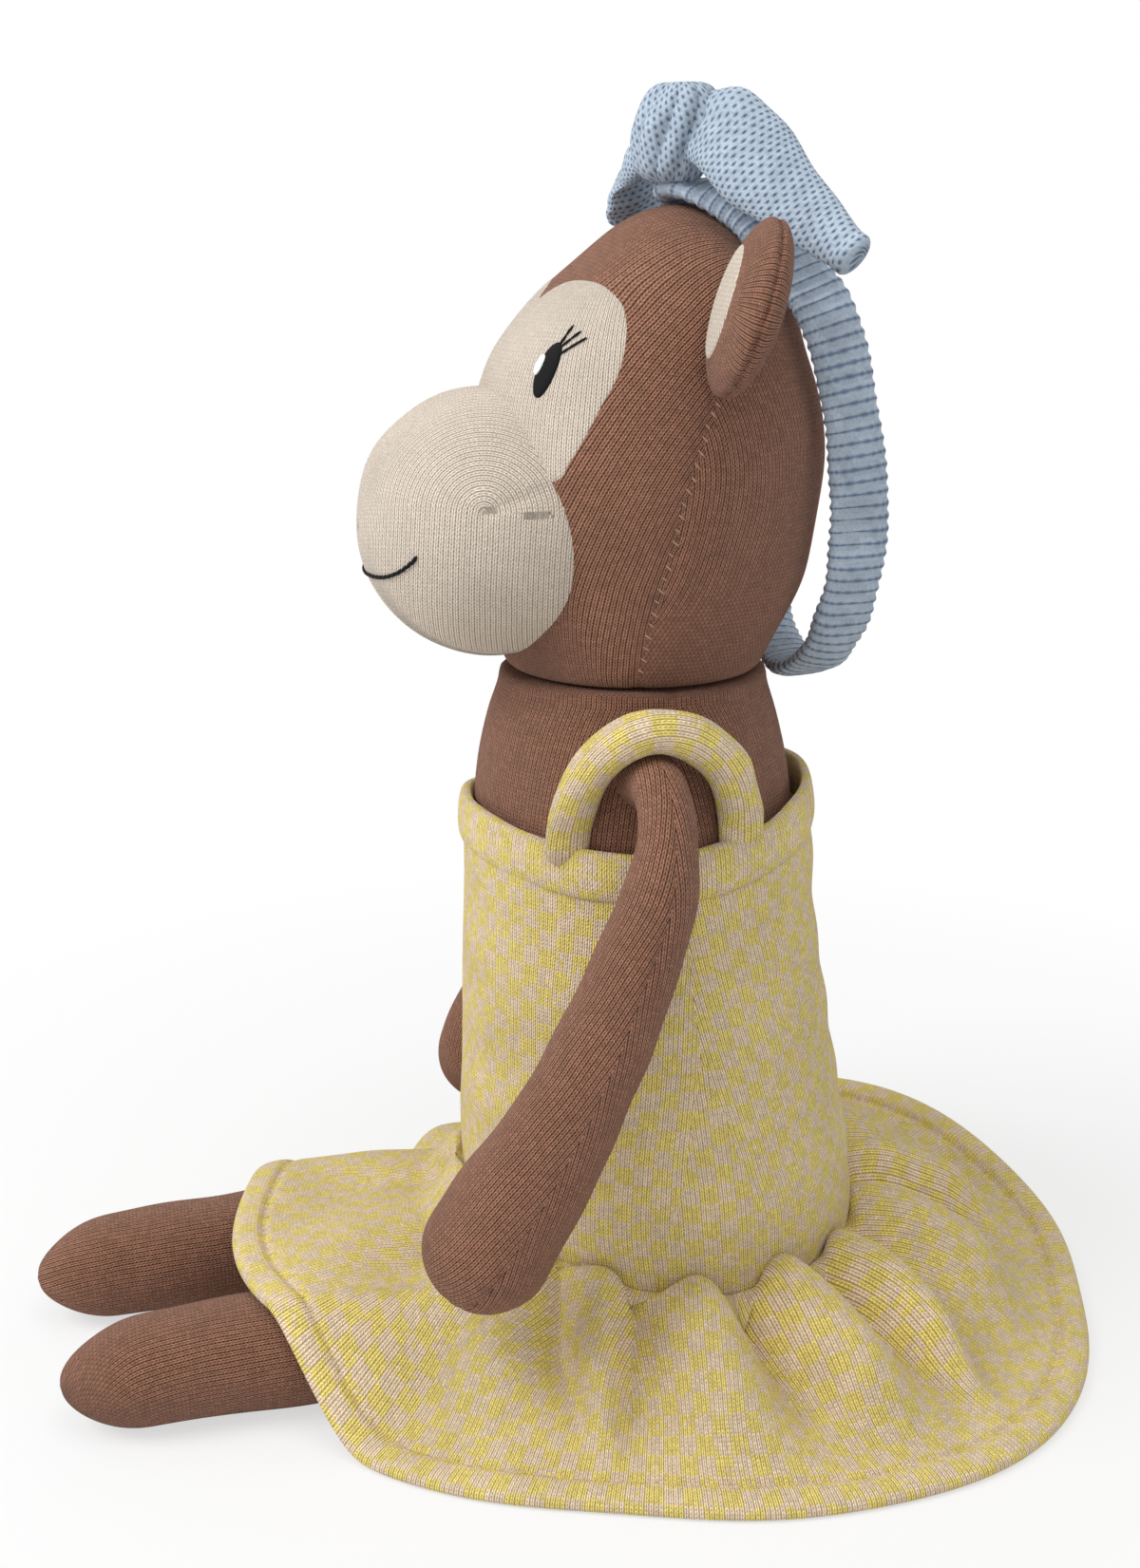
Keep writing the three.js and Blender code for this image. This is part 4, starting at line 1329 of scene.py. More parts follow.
    def off_face(self, side: Side, points: Sequence[tuple[float, float, float]]) -> Array:
        """Bring points of the left eye to a side, and off the face so that its front lies nearest."""
        placed = np.array(points, float) * np.array([side.value, 1, 1])
        return placed + unit(placed - np.array([0, self.middle, self.base + 68])) * OFF_FACE

    def satin_oval(
        self, name: str, ends: Array, ground: bpy.types.Object, half: float, lift: float, proud: float,
    ) -> bpy.types.Object:
        """Model a plump oval of satin stitches lying on a piece.

        Args:
            name: Name of the piece.
            ends: Its top and bottom points in mm.
            ground: The piece that carries it.
            half: Half width in mm.
            lift: Height of its middle over the ground in mm.
            proud: Half its thickness in mm.

        Returns:
            The oval.
        """
        top, bottom = ends
        centre = (top + bottom) / 2
        _, place, normal, _ = ground.closest_point_on_mesh(Vector(centre * MM))
        along = Vector(top - bottom).normalized()
        along = (along - normal * along.dot(normal)).normalized()
        across = along.cross(normal)
        begin()
        bpy.ops.mesh.primitive_uv_sphere_add(segments=64, ring_count=24, radius=1.0)
        oval = bpy.context.object
        oval.name = name
        oval.data.name = name
        points = np.empty(len(oval.data.vertices) * 3)
        oval.data.vertices.foreach_get("co", points)
        points = points.reshape(-1, 3)
        ribs = 1 + 0.05 * np.cos(points[:, 1] * 46)
        flat = np.sign(points[:, 2]) * np.abs(points[:, 2]) ** 0.8 * ribs
        local = np.stack([points[:, 0] * half, points[:, 1] * np.linalg.norm(top - bottom) / 2, flat], -1)
        laid = []
        for x, y, z in local:
            spot = place + across * (x * MM) + along * (y * MM) + normal * (OFF_FACE * MM)
            _, on, out, _ = ground.closest_point_on_mesh(spot)
            laid.append(on + out * ((lift + proud * z) * MM))
        oval.data.vertices.foreach_set("co", np.array([tuple(v) for v in laid]).ravel())
        oval.data.update()
        bpy.ops.object.shade_smooth()
        return oval

    def embroider_mouth(self, muzzle: bpy.types.Object) -> None:
        """Sew the smile in black stem stitch."""
        half = [
            (26.1, -79, 241.7), (24.6, -80.2, 240), (20.6, -82.6, 237.2), (14.4, -85.4, 235),
            (4.4, -87.7, 234.1),
        ]
        path = np.array(half + [(-x, y, z) for x, y, z in reversed(half)], float)
        mouth = STITCHER.sew("mouth_line", path, muzzle, SMILE_STITCH)
        finish_piece(mouth, Body.HEAD, BLACK_THREAD)

    def sew_seams(self, head: bpy.types.Object) -> None:
        """Sew the pale stitches that show along the side seams."""
        for side in Side:
            seam = self.side_seam(side)
            run = STITCHER.sew(f"head_seam_thread_{side.label}", seam, head, SEAM_STITCH)
            finish_piece(run, Body.HEAD, SEAM_THREAD)


@dataclass
class Arm:
    """One arm: a short root under the strap, then a limb that widens to the hand, in mm."""

    side: Side
    body: Body
    lag: float
    pivot: tuple[float, float] = (-20.0, 181.0)
    root_radius: float = 10.0
    hand_radius: float = 18.0
    reach: float = 62.0
    drop: float = 132.0
    root_start: float = 34.4
    strap_outer: float = 54.1
    blunt: tuple[float, float] = (0.3, 1.0)
    herringbone: float = 0.22
    bends: tuple[tuple[float, float], ...] = ((0.03, 0.12), (0.14, 0.3), (0.44, 0.6), (0.74, 0.82), (1, 1))
    half: tuple[tuple[float, float], ...] = (
        (0, 9), (0.1, 7.4), (0.18, 8.2), (0.3, 10.3), (0.45, 12.2), (0.65, 14.3), (0.85, 17.5), (1, 18),
    )
    seams: tuple[tuple[float, float, float, float], ...] = (
        (0.12, 0.42, 0.5, 0.5), (0.33, 0.99, 0.0, 0.6), (0.9, 0.995, 0.5, 0.7), (0.95, 0.995, 0.36, 0.5),
        (0.95, 0.995, 0.64, 0.5),
    )

    def build(self) -> None:
        """Make the arm."""
        points = [(self.root_start, 0, 0), (self.strap_outer, 0, 0)]
        for forward, down in self.bends:
            out = self.strap_outer + GAP + lerp(self.root_radius, self.hand_radius, down**1.3)
            points.append((float(out), -self.reach * forward, -self.drop * down))
        turn = math.radians(self.lag)
        placed = []
        for x, y, z in points:
            back = y * math.cos(turn) - z * math.sin(turn)
            up = y * math.sin(turn) + z * math.cos(turn)
            placed.append((self.side.value * x, self.pivot[0] + back, self.pivot[1] + up))
        line = Line(curve_through(np.array(placed), 24))
        half = stations(self.half)
        seam = -math.pi / 2 * self.side.value
        sweep = Sweep(line, half, half, (0, 1, 0), seam, self.blunt, self.herringbone)
        rows, columns = 110, 60
        table = sweep.table(columns, rows)
        arm = sweep.piece(f"arm_cover_{self.side.label}", columns, rows)
        make_finer(arm)
        roughen(arm, 0.4, 26, 31 + self.side.value)
        for low, high, column, depth in self.seams:
            path = table[sweep.places(low, high, 24, rows), int(column * columns)]
            press_seam(arm, path, depth, 1.0)
        finish_piece(arm, self.body, BROWN_KNIT, [f"arm_{self.side.label}"])


@dataclass
class Leg:
    """One leg, from the fold at its hip flap to the toe, in mm."""

    side: Side
    body: Body
    spacing: float = 60.0
    radius: float = 16.5
    toe_radius: float = 14.0
    length: float = 132.0
    fold: float = 56.5
    middle: float = 16.0
    seam_turn: float = 52.0
    blunt: tuple[float, float] = (0.6, 1.8)
    wide: tuple[tuple[float, float], ...] = ((0, 15.5), (0.3, 16.5), (0.75, 16.2), (1, 13))
    tall: tuple[tuple[float, float], ...] = ((0, 6), (0.12, 12), (0.3, 16.5), (0.75, 16.2), (1, 13))
    toe_seams: tuple[float, ...] = (0.0, 0.33, 0.67)

    @property
    def stretch(self) -> float:
        """Give how much longer or shorter this leg's stuffing holds it."""
        return -2.0 if self.side is Side.LEFT else 4.0

    def build(self) -> None:
        """Make the leg."""
        x = self.side.value * self.spacing / 2
        length = self.length + self.stretch
        line = Line(curve_through(np.array([
            (x, -self.fold - 1.5, self.middle),
            (x, -self.fold - length * 0.4, self.middle),
            (x, -self.fold - length * 0.7, self.middle - 0.5),
            (x, -self.fold - length, self.toe_radius - 0.5),
        ]), 24))
        seam = math.radians(-90 + self.seam_turn * self.side.value)
        sweep = Sweep(line, stations(self.wide), stations(self.tall), (1, 0, 0), seam, self.blunt)
        rows, columns = 90, 60
        table = sweep.table(columns, rows)
        leg = sweep.piece(f"leg_cover_{self.side.label}", columns, rows)
        make_finer(leg)
        roughen(leg, 0.4, 26, 43 + self.side.value)
        toe = sweep.places(0.95, 0.998, 14, rows)
        for column in self.toe_seams:
            press_seam(leg, table[toe, int(column * columns)], 0.6, 1.0)
        keep_level(leg, 4 * self.radius)
        finish_piece(leg, self.body, BROWN_KNIT, [f"leg_{self.side.label}"])


@dataclass
class Dress:
    """The bodice, its neckline band, the straps and the gathered skirt, in mm."""

    trunk: Trunk
    cloth: float = 3.0
    wall: float = 2.2
    neckline: float = 170.0
    side_dip: float = 8.0
    back_rise: float = 3.0
    band_height: float = 14.0
    band_extra: float = 1.2
    ease: float = 2.0
    waist: float = 33.0
    waist_rise: float = 15.0
    strap_half: tuple[float, float] = (6.3, 4.4)
    strap_spread: float = 59.0
    strap_turn: float = -8.0
    hem_side: float = 120.0
    hem_depth: float = 135.0
    hem_swing: float = 13.0
    hem_near: float = 4.5
    fall: tuple[tuple[float, float], ...] = ((0.25, 0.96), (0.46, 0.72), (0.63, 0.4), (0.78, 0.19))
    back_lift: float = 16.0
    back_shift: tuple[float, float] = (-2.0, 3.5)
    lap_height: float = 37.5
    lap_half: float = 36.5
    lap_fades: tuple[float, float] = (38.0, 58.0)
    gather_height: float = 17.0
    hem_roll: float = 7.6
    hem_thickness: float = 3.8
    skirt_wall: float = 2.4
    creases: tuple[tuple[float, float], ...] = (
        (101, -5), (127, 6), (152, -3), (179, 5), (205, -6), (232, 4), (258, -4), (286, 3), (313, 22),
        (335, 3), (361, 9), (387, 6), (410, -14), (436, 4),
    )

    def neckline_at(self, angle: Array) -> Array:
        """Give the neckline's height by angle from +X toward +Y."""
        return self.neckline - self.side_dip * np.cos(angle) ** 2 + self.back_rise * np.sin(angle)

    def waist_at(self, angle: Array) -> Array:
        """Give the waist seam's height."""
        return self.waist + self.waist_rise * np.maximum(0, -np.sin(angle)) ** 2

    def inner_at(self, height: Array) -> Array:
        """Give the radius of the dress's inner face."""
        ease = self.ease * (1 - smoothstep(height, self.waist, 140))
        return self.trunk.radius_at(height) + GAP + ease

    def build(self) -> None:
        """Make the whole dress."""
        self.build_bodice()
        self.build_band()
        self.build_skirt()
        for side in Side:
            self.build_strap(side)

    def lay(self, angle: Array, radius: Array, height: Array) -> Array:
        """Give points of the dress round the body, drawn in low at the back and out at its top."""
        table = self.trunk.round_at(angle, radius, height)
        low, high = self.back_shift
        shift = lerp(low, 0, smoothstep(height, 60, 115)) + high * smoothstep(height, 105, 165)
        table[..., 1] += shift * np.maximum(0, np.sin(angle))
        return table

    def build_bodice(self) -> None:
        """Make the bodice, with a dart where each side seam spreads."""
        rows, columns = 76, 200
        angle = np.linspace(0, 2 * math.pi, columns + 1) - math.pi * 1.5
        share = np.linspace(0, 1, rows + 1)[:, None]
        low = self.waist_at(angle)[None, :] - 2.5
        high = self.neckline_at(angle)[None, :] - self.band_height + 1.5
        height = lerp(low, high, share)
        radius = self.inner_at(height) + self.cloth - 0.3
        table = self.lay(angle[None, :], radius, height)

        def knit(spots: Spots) -> Array:
            """Lay upright wales on a front and a back panel, with a dart panel at each side."""
            turn = spots.around * 2 * math.pi
            z = spots.points[:, 2]
            reach = self.inner_at(z) + self.cloth
            side_middle = np.where(spots.mid_around < 0.5, 0.25, 0.75)
            dart = np.clip((104 - spots.mid_points[:, 2]) / 70, 0, 1) * 0.05
            in_dart = np.abs(spots.mid_around - side_middle) < dart
            panel = np.where(in_dart, side_middle, np.rint(spots.mid_around * 2) / 2) * 2 * math.pi
            return np.stack([(turn - panel) * reach, z], -1)

        bodice = knit_piece("bodice_cloth", table, knit, turn_out=False)
        self.turn_outward(bodice)

        def pull(points: Array) -> Array:
            """Give the soft creases of stretched cloth."""
            return 0.45 * lumps(points * np.array([1, 1, 2.2]), 40, 51)

        swell(bodice, pull)
        for side in Side:
            heights = np.linspace(46, 150, 14)
            reach = (self.inner_at(heights) + self.cloth) * side.value
            seam = np.stack([reach, self.trunk.lean_at(heights), heights], -1)
            press_seam(bodice, seam[6:], 0.7, 1.4)
        add_thickness(bodice, self.wall)
        finish_piece(bodice, Body.TRUNK, DRESS_KNIT, ["dress_bodice"])

    def turn_outward(self, sheet: bpy.types.Object) -> None:
        """Turn a sheet round the body so that its faces point away from the body's axis."""
        points, normals = read_points(sheet)
        out = unit(points * np.array([1, 1, 0]))
        if float((out * normals).sum(axis=1).mean()) < 0:
            flip(sheet)

    def build_band(self) -> None:
        """Make the doubled band at the neckline, rolled at its top edge."""
        rows, columns = 40, 200
        angle = np.linspace(0, 2 * math.pi, columns + 1) - math.pi * 1.5
        section = np.linspace(0, 2 * math.pi, rows + 1)[:, None]
        top = self.neckline_at(angle)[None, :]
        rise = np.sin(section)
        rise = np.sign(rise) * np.abs(rise) ** 0.8 * self.band_height / 2
        height = top - self.band_height / 2 + rise
        thick = (self.cloth + self.band_extra) / 2 - 0.1
        out = np.cos(section)
        radius = self.inner_at(height) + 0.2 + thick * (1 + np.sign(out) * np.abs(out) ** 0.6)
        table = self.lay(angle[None, :], radius, height)

        def knit(spots: Spots) -> Array:
            """Lay the wales upright."""
            return np.stack([spots.around * 2 * math.pi * 51, spots.along * 36], -1)

        band = knit_piece("neckline_band_cloth", table, knit)
        roughen(band, 0.3, 20, 61)
        finish_piece(band, Body.TRUNK, DRESS_KNIT, ["neckline_band"])

    def skirt_line(self, angle: float) -> Array:
        """Lay the skirt's outer line at one angle, in dense points of (radius, height)."""
        waist = float(self.waist_at(np.array(angle)))
        body = float(self.inner_at(np.array(waist))) + self.cloth
        body += self.back_shift[0] * max(0.0, math.sin(angle))
        hem = math.hypot(self.hem_side * math.cos(angle), self.hem_depth * math.sin(angle))
        hem += self.hem_swing * math.cos(angle) ** 2 * math.sin(angle)
        hem += self.hem_near * math.cos(angle) * max(0.0, -math.sin(angle)) ** 4
        hem += 3.0 * self.bump(angle, 24, 16) + 0.9 * math.sin(5 * angle + 1) + 0.6 * math.sin(9 * angle + 2)
        hem += 2.2 * self.bump(angle, 43, 18) - 4.2 * self.bump(angle, 72, 14)
        lift = self.back_lift * self.bump(angle, 125, 36)
        points = [(body - 1.2, waist - 2.2), (body + 1.4, waist - 0.5), (body + 5, waist + 1)]
        for reach, high in self.fall:
            points.append((body + (hem - body) * reach, self.waist * high + lift * reach**3))
        points.append((hem - 6, 4.6 + lift * 0.85))
        points.append((hem - self.hem_thickness / 2, self.hem_thickness + 0.1 + lift))
        return curve_through(np.array(points, float), 18)

    def bump(self, angle: float, middle: float, width: float) -> float:
        """Give a smooth rise from 0 to 1 and back, round an angle in degrees."""
        away = (math.degrees(angle) - middle + 180) % 360 - 180
        return math.exp(-((away / width) ** 2))

    def crease_angles(self, run: Array) -> Array:
        """Give the angles of the creases at shares of the way to the hem, with one more at each end."""
        start, drift = np.radians(np.array(self.creases, float)).T
        crease = start + drift * np.asarray(run)[..., None]
        return np.concatenate([crease[..., -1:] - 2 * math.pi, crease, crease[..., :1] + 2 * math.pi], -1)

    def lobe_index(self, angle: Array, run: Array) -> Array:
        """Count the creases before a place, which names the lobe of cloth that it lies in.

        Args:
            angle: Angles from +X toward +Y, in radians, from the back round to the back.
            run: Shares of the way from the waist to the hem.

        Returns:
            Whole numbers.
        """
        return (angle[..., None] > self.crease_angles(run)[..., 1:-1]).sum(-1)

    def lobe_edges(self, index: Array, run: Array) -> tuple[Array, Array]:
        """Give the angles of the two creases beside each lobe."""
        edges = np.broadcast_to(self.crease_angles(run), (*index.shape, len(self.creases) + 2))
        low = np.take_along_axis(edges, index[..., None], -1)[..., 0]
        high = np.take_along_axis(edges, index[..., None] + 1, -1)[..., 0]
        return low, high

    def over_lap(self, x: Array, y: Array) -> Array:
        """Give how far the cloth is lifted by the legs, from 0 to 1."""
        fade = np.where(x > 0, *self.lap_fades)
        edge = self.lap_half / fade
        return np.where(y < 0, 1 - smoothstep(np.abs(x) / fade, edge, edge + 1), 0)

    def skirt_cover(self, angles: Array, run: Array) -> tuple[Array, Array, Array]:
        """Lay the skirt's outer face.

        Args:
            angles: Angles of the columns.
            run: Shares of the way from the waist to the hem, for the rows.

        Returns:
            Its points, its normals before the gathers, and each point's distance from the hem.
        """
        table = np.empty((len(run), len(angles), 3))
        for index, angle in enumerate(angles):
            radius, height = Line(self.skirt_line(float(angle))).at(run).T
            lean = float(self.trunk.lean_at(self.waist)) * np.maximum(0, 1 - radius / 127)
            x, y = radius * math.cos(angle), radius * math.sin(angle) + lean
            table[:, index] = np.stack([x, y, height], -1)
        lap = self.over_lap(table[..., 0], table[..., 1])
        blend = 5.0 * smoothstep(run, 0.05, 0.3)[:, None] + 0.01
        table[..., 2] = soft_max(table[..., 2], lap * self.lap_height, blend)
        normals = table_normals(table)
        steps = np.linalg.norm(np.diff(table, axis=0), axis=2)
        from_hem = np.vstack([np.cumsum(steps[::-1], axis=0)[::-1], np.zeros((1, len(angles)))])
        low, high = self.lobe_edges(self.lobe_index(angles[None, :], run[:, None]), run[:, None])
        share = np.clip((angles[None, :] - low) / (high - low), 0, 1) ** 1.3
        power = lerp(0.75, 1.5, smoothstep(run, 0.0, 0.7))[:, None]
        lobe = np.sin(math.pi * share) ** power
        fade = smoothstep(run, 0.0, 0.07) * (1 - smoothstep(run, 0.45, 0.9))
        depth = self.gather_height * (1 + 0.2 * np.sin(5 * angles + 1))[None, :]
        gather = depth * (lobe - 0.62) * fade[:, None] * (1 - 0.75 * lap)
        free = smoothstep(run, 0.0, 0.2) * (1 - smoothstep(run, 0.8, 1.0))
        uneven = 0.7 * lumps(table, 34, 57) * free[:, None]
        beat = 1 + 0.3 * np.cos(angles[None, :] * 127 * 2 * math.pi / 3.2)
        groove = 0.9 * beat * np.exp(-(((from_hem - self.hem_roll) / 1.2) ** 2))
        roll = 0.6 * np.sin(math.pi * np.clip(from_hem / self.hem_roll, 0, 1)) ** 0.7
        return table + normals * (gather + uneven + roll - groove)[..., None], normals, from_hem

    def build_skirt(self) -> None:
        """Make the gathered skirt, from the waist seam to its rolled hem, with the hem's thread."""
        columns, edge_rows = 600, 7
        run = np.concatenate([np.linspace(0, 0.85, 61), np.linspace(0.85, 1, 25)[1:]])
        angles = np.linspace(0, 2 * math.pi, columns + 1) + math.pi / 2
        outer, normals, from_hem = self.skirt_cover(angles, run)
        wall = lerp(0.8, self.skirt_wall, smoothstep(run, 0, 0.08))[:, None]
        wall = lerp(self.hem_thickness, wall, smoothstep(from_hem, self.hem_roll, self.hem_roll + 3))
        inner = outer - normals * wall[..., None]
        middle, radius = (outer[-1] + inner[-1]) / 2, (outer[-1] - inner[-1]) / 2
        ahead = unit(outer[-1] - outer[-4]) * np.linalg.norm(radius, axis=1, keepdims=True)
        turn = (np.arange(1, edge_rows + 1) / (edge_rows + 1) * math.pi)[:, None, None]
        edge = middle + radius * np.cos(turn) + ahead * np.sin(turn)
        back = np.rint(np.linspace(len(run) - 1, 0, 31)).astype(int)
        inside = inner[back]
        inside[-1] = outer[0]
        table = np.concatenate([outer, edge, inside])
        table[..., 2] = np.maximum(table[..., 2], 0.0)
        runs = np.concatenate([run, np.ones(edge_rows), run[back]])
        steps = np.linalg.norm(np.diff(table, axis=0), axis=2)
        down = np.vstack([np.zeros((1, columns + 1)), np.cumsum(steps, axis=0)])
        down = down - down[len(run) - 1]
        full = 121.0

        def knit(spots: Spots) -> Array:
            """Run the wales from the hem up, and lose width in each crease."""
            rows = len(runs) - 1
            angle = spots.around * 2 * math.pi + math.pi / 2
            mid_angle = spots.mid_around * 2 * math.pi + math.pi / 2
            mid_run = np.interp(spots.mid_along * rows, np.arange(rows + 1), runs)
            row = np.rint(spots.along * rows).astype(int)
            column = np.rint(spots.around * columns).astype(int)
            low, high = self.lobe_edges(self.lobe_index(mid_angle, mid_run), runs[row])
            middle = (low + high) / 2
            width = lerp(72.0, full, smoothstep(runs[row], 0.0, 0.7))
            return np.stack([middle * full + (angle - middle) * width, down[row, column]], -1)

        skirt = knit_piece("skirt_cloth", table, knit)
        finish_piece(skirt, Body.TRUNK, DRESS_KNIT, ["skirt"])
        nearest = np.abs(from_hem - self.hem_roll).argmin(axis=0)
        groove = outer[nearest, np.arange(columns + 1)]
        thread = STITCHER.sew("skirt_hem_thread", groove[::3], skirt, HEM_STITCH)
        finish_piece(thread, Body.TRUNK, HEM_THREAD)

    def build_strap(self, side: Side) -> None:
        """Make a rolled strap that arches over the arm's root."""
        steps = 40
        turn = np.linspace(0, math.pi, steps + 1)
        shoulder = float(self.trunk.radius_at(self.neckline - self.side_dip)) + GAP + self.strap_half[1]
        shoulder = shoulder - 2.6 * (1 - np.sin(turn) ** 0.5)
        angle = math.radians(self.strap_turn) - math.radians(self.strap_spread) / 2 * np.cos(turn)
        apex = 181 + 10 + GAP + 5.4
        foot = self.neckline_at(angle) - 6.0
        points = np.stack([
            side.value * shoulder * np.cos(angle),
            self.trunk.lean_at(self.neckline) + shoulder * np.sin(angle),
            lerp(foot, apex, np.sin(turn) ** 0.9),
        ], -1)
        line = Line(points)
        half, thick = self.strap_half
        thickness = stations([(0, 1.9), (0.1, 2.6), (0.22, thick), (0.78, thick), (0.9, 2.6), (1, 1.9)])
        sweep = Sweep(line, thickness, lambda share: half + 0 * share, (side.value, 0, 0))
        sweep.seam = math.pi
        strap = knit_piece(f"strap_cloth_{side.label}", sweep.table(36, 72), sweep.knitter(72))
        roughen(strap, 0.35, 14, 71)
        finish_piece(strap, Body.TRUNK, DRESS_KNIT, [f"strap_{side.label}"])


@dataclass
class Headdress:
    """The loose headband with its knot and two loops, in mm."""

    face: Face
    width: float = 16.0
    thickness: float = 5.0
    ridge: float = 3.4
    knot_height: float = 26.0
    knot_radius: float = 13.0
    knot_setback: float = 7.0
    bow_turn: float = 20.0
    loop_length: float = 60.0
    right_share: float = 0.72
    knot_lean: float = 1.5
    loop_fall: tuple[tuple[float, float, float], ...] = (
        (0.05, 0.01, -0.03), (0.28, 0.04, 0.0), (0.52, 0.08, 0.18), (0.77, 0.15, 0.39), (1, 0.2, 0.53),
    )
    far_fall: tuple[tuple[float, float, float], ...] = (
        (0.05, 0.01, -0.02), (0.32, 0.04, 0.03), (0.52, 0.08, 0.19), (0.6, 0.13, 0.37), (0.62, 0.17, 0.52),
    )
    loop_half: tuple[tuple[float, float], ...] = (
        (0, 9.5), (0.2, 11.6), (0.42, 11.8), (0.62, 9.8), (0.85, 6.2), (0.93, 5.2), (1, 5.6),
    )
    far_half: tuple[tuple[float, float], ...] = (
        (0, 9), (0.2, 11), (0.42, 12), (0.62, 12), (0.85, 11), (0.93, 10), (1, 10.2),
    )
    loop_thick: tuple[tuple[float, float], ...] = (
        (0, 4), (0.3, 4.6), (0.6, 4.2), (0.88, 2.6), (0.93, 2.4), (0.97, 3.5), (1, 3.4),
    )

    @property
    def knot_middle(self) -> Array:
        """Middle of the knot."""
        top = self.face.base + self.face.height + self.thickness + 2 * GAP
        return np.array([0.0, self.face.middle + self.knot_setback, top + self.knot_height / 2])

    def build(self) -> None:
        """Make the headband and the bow."""
        self.build_band()
        self.build_knot()
        for side in Side:
            self.build_loop(side)

    def route(self) -> Line:
        """Give the headband's middle line, closed."""
        face = self.face
        rise = self.thickness / 2 + GAP
        half = [
            (0, 0.2, 1.015), (0.32, 0.48, 0.955), (0.6, 0.7, 0.82), (0.73, 0.8, 0.72), (0.8, 0.9, 0.54),
            (0.8, 0.95, 0.39), (0.76, 0.97, 0.25), (0.64, 0.97, 0.11), (0.42, 0.95, 0.01), (0, 0.93, -0.05),
        ]
        points = []
        for sign, shares in ((1, half), (-1, half[-2:0:-1])):
            for across, back, height in shares:
                points.append((
                    sign * across * face.radius,
                    face.middle + back * face.radius * face.depth_share,
                    face.base + height * face.height + rise,
                ))
        return Line(curve_through(np.array(points), 24, closed=True))

    def build_band(self) -> None:
        """Make the band with its garter ridges and looped edges."""
        line = self.route()
        ridges = round(line.length / self.ridge)
        columns, rows = ridges * 8, 32
        share = np.linspace(0, 1, columns + 1)
        middle = line.at(share)
        step = 0.004
        along = unit(line.at((share + step) % 1) - line.at((share - step) % 1))
        across = unit(np.array([0.0, 1, 0]) - along * along[:, 1:2])
        out = np.cross(along, across)
        out *= np.sign(((middle - middle.mean(axis=0)) * out).sum(axis=1, keepdims=True))
        section = np.linspace(0, 2 * math.pi, rows + 1)[:, None]
        beat = np.cos(share * ridges * 2 * math.pi)[None, :]
        tall = np.sin(section)
        wide = np.cos(section)
        tall = np.sign(tall) * np.abs(tall) ** 0.8 * (self.thickness / 2 + 0.35 * beat + 0.2)
        wide = np.sign(wide) * np.abs(wide) ** 0.7 * (self.width / 2 + 0.25 * beat * np.abs(wide))
        table = middle[None] + out[None] * tall[..., None] + across[None] * wide[..., None]

        def knit(spots: Spots) -> Array:
            """Run the knit along the band, with one row to each ridge."""
            return np.stack([spots.along * 41.4, (spots.around * ridges + 0.5) * BAND_KNIT.course], -1)

        band = knit_piece("headband_knit", table, knit)
        roughen(band, 0.5, 16, 81)
        finish_piece(band, Body.HEADDRESS, BAND_KNIT, ["headband"])

    def turned(self, point: tuple[float, float, float]) -> tuple[float, float, float]:
        """Turn a direction or place with the bow."""
        turn = math.radians(self.bow_turn)
        x, y, z = point
        return x * math.cos(turn) - y * math.sin(turn), x * math.sin(turn) + y * math.cos(turn), z

    def build_knot(self) -> None:
        """Make the knot, wrapped in slanting folds."""
        rows, columns = 90, 128
        bend = np.linspace(0, math.pi, rows + 1)[:, None]
        turn = np.linspace(0, 2 * math.pi, columns + 1)[None, :]
        ring = np.sin(bend) ** 0.55
        fold = np.abs(np.sin(turn * 4.5 + 1.1 * np.cos(bend) + 0.5 * np.sin(2 * turn)))
        radius = self.knot_radius * ring * (0.82 + 0.18 * fold**0.6)
        height = -np.cos(bend) * self.knot_height / 2
        lean = self.knot_lean * np.sin(height / self.knot_height * math.pi)
        table = self.knot_middle + np.stack(np.broadcast_arrays(
            radius * np.cos(turn), radius * np.sin(turn) * 0.94 + lean, height,
        ), -1)

        def knit(spots: Spots) -> Array:
            """Run the knit round the knot."""
            return np.stack([spots.points[:, 2], spots.around * 70 + spots.points[:, 2] * 0.3], -1)

        knot = knit_piece("bow_knot_knit", table, knit)
        roughen(knot, 0.5, 12, 91)
        finish_piece(knot, Body.HEADDRESS, BOW_KNIT, ["bow_knot"])

    def build_loop(self, side: Side) -> None:
        """Make a soft flattened loop that hangs out and back from the knot, with a rolled end."""
        length = self.loop_length * (1 if side is Side.LEFT else self.right_share)
        points = [self.turned((side.value * out * length, back * length, -down * length))
                  for out, back, down in (self.loop_fall if side is Side.LEFT else self.far_fall)]
        line = Line(curve_through(np.array(points), 24) + self.knot_middle)
        sideways = self.turned((0.0, 0.5, 0.87))
        half = stations(self.loop_half if side is Side.LEFT else self.far_half)
        sweep = Sweep(line, half, stations(self.loop_thick), sideways, 0.0, (1.0, 0.7))
        rows, columns = 110, 96
        loop = knit_piece(f"bow_loop_knit_{side.label}", sweep.table(columns, rows), sweep.knitter(rows))
        roughen(loop, 0.7, 16, 95 + side.value)
        table = sweep.table(columns, rows)
        for column, depth in ((0.25, 0.9), (0.34, 0.5), (0.75, 0.9), (0.66, 0.5)):
            press_seam(loop, table[8:70:6, int(column * columns)], depth, 2.6, 0.0)
        finish_piece(loop, Body.HEADDRESS, BOW_KNIT, [f"bow_loop_{side.label}"])


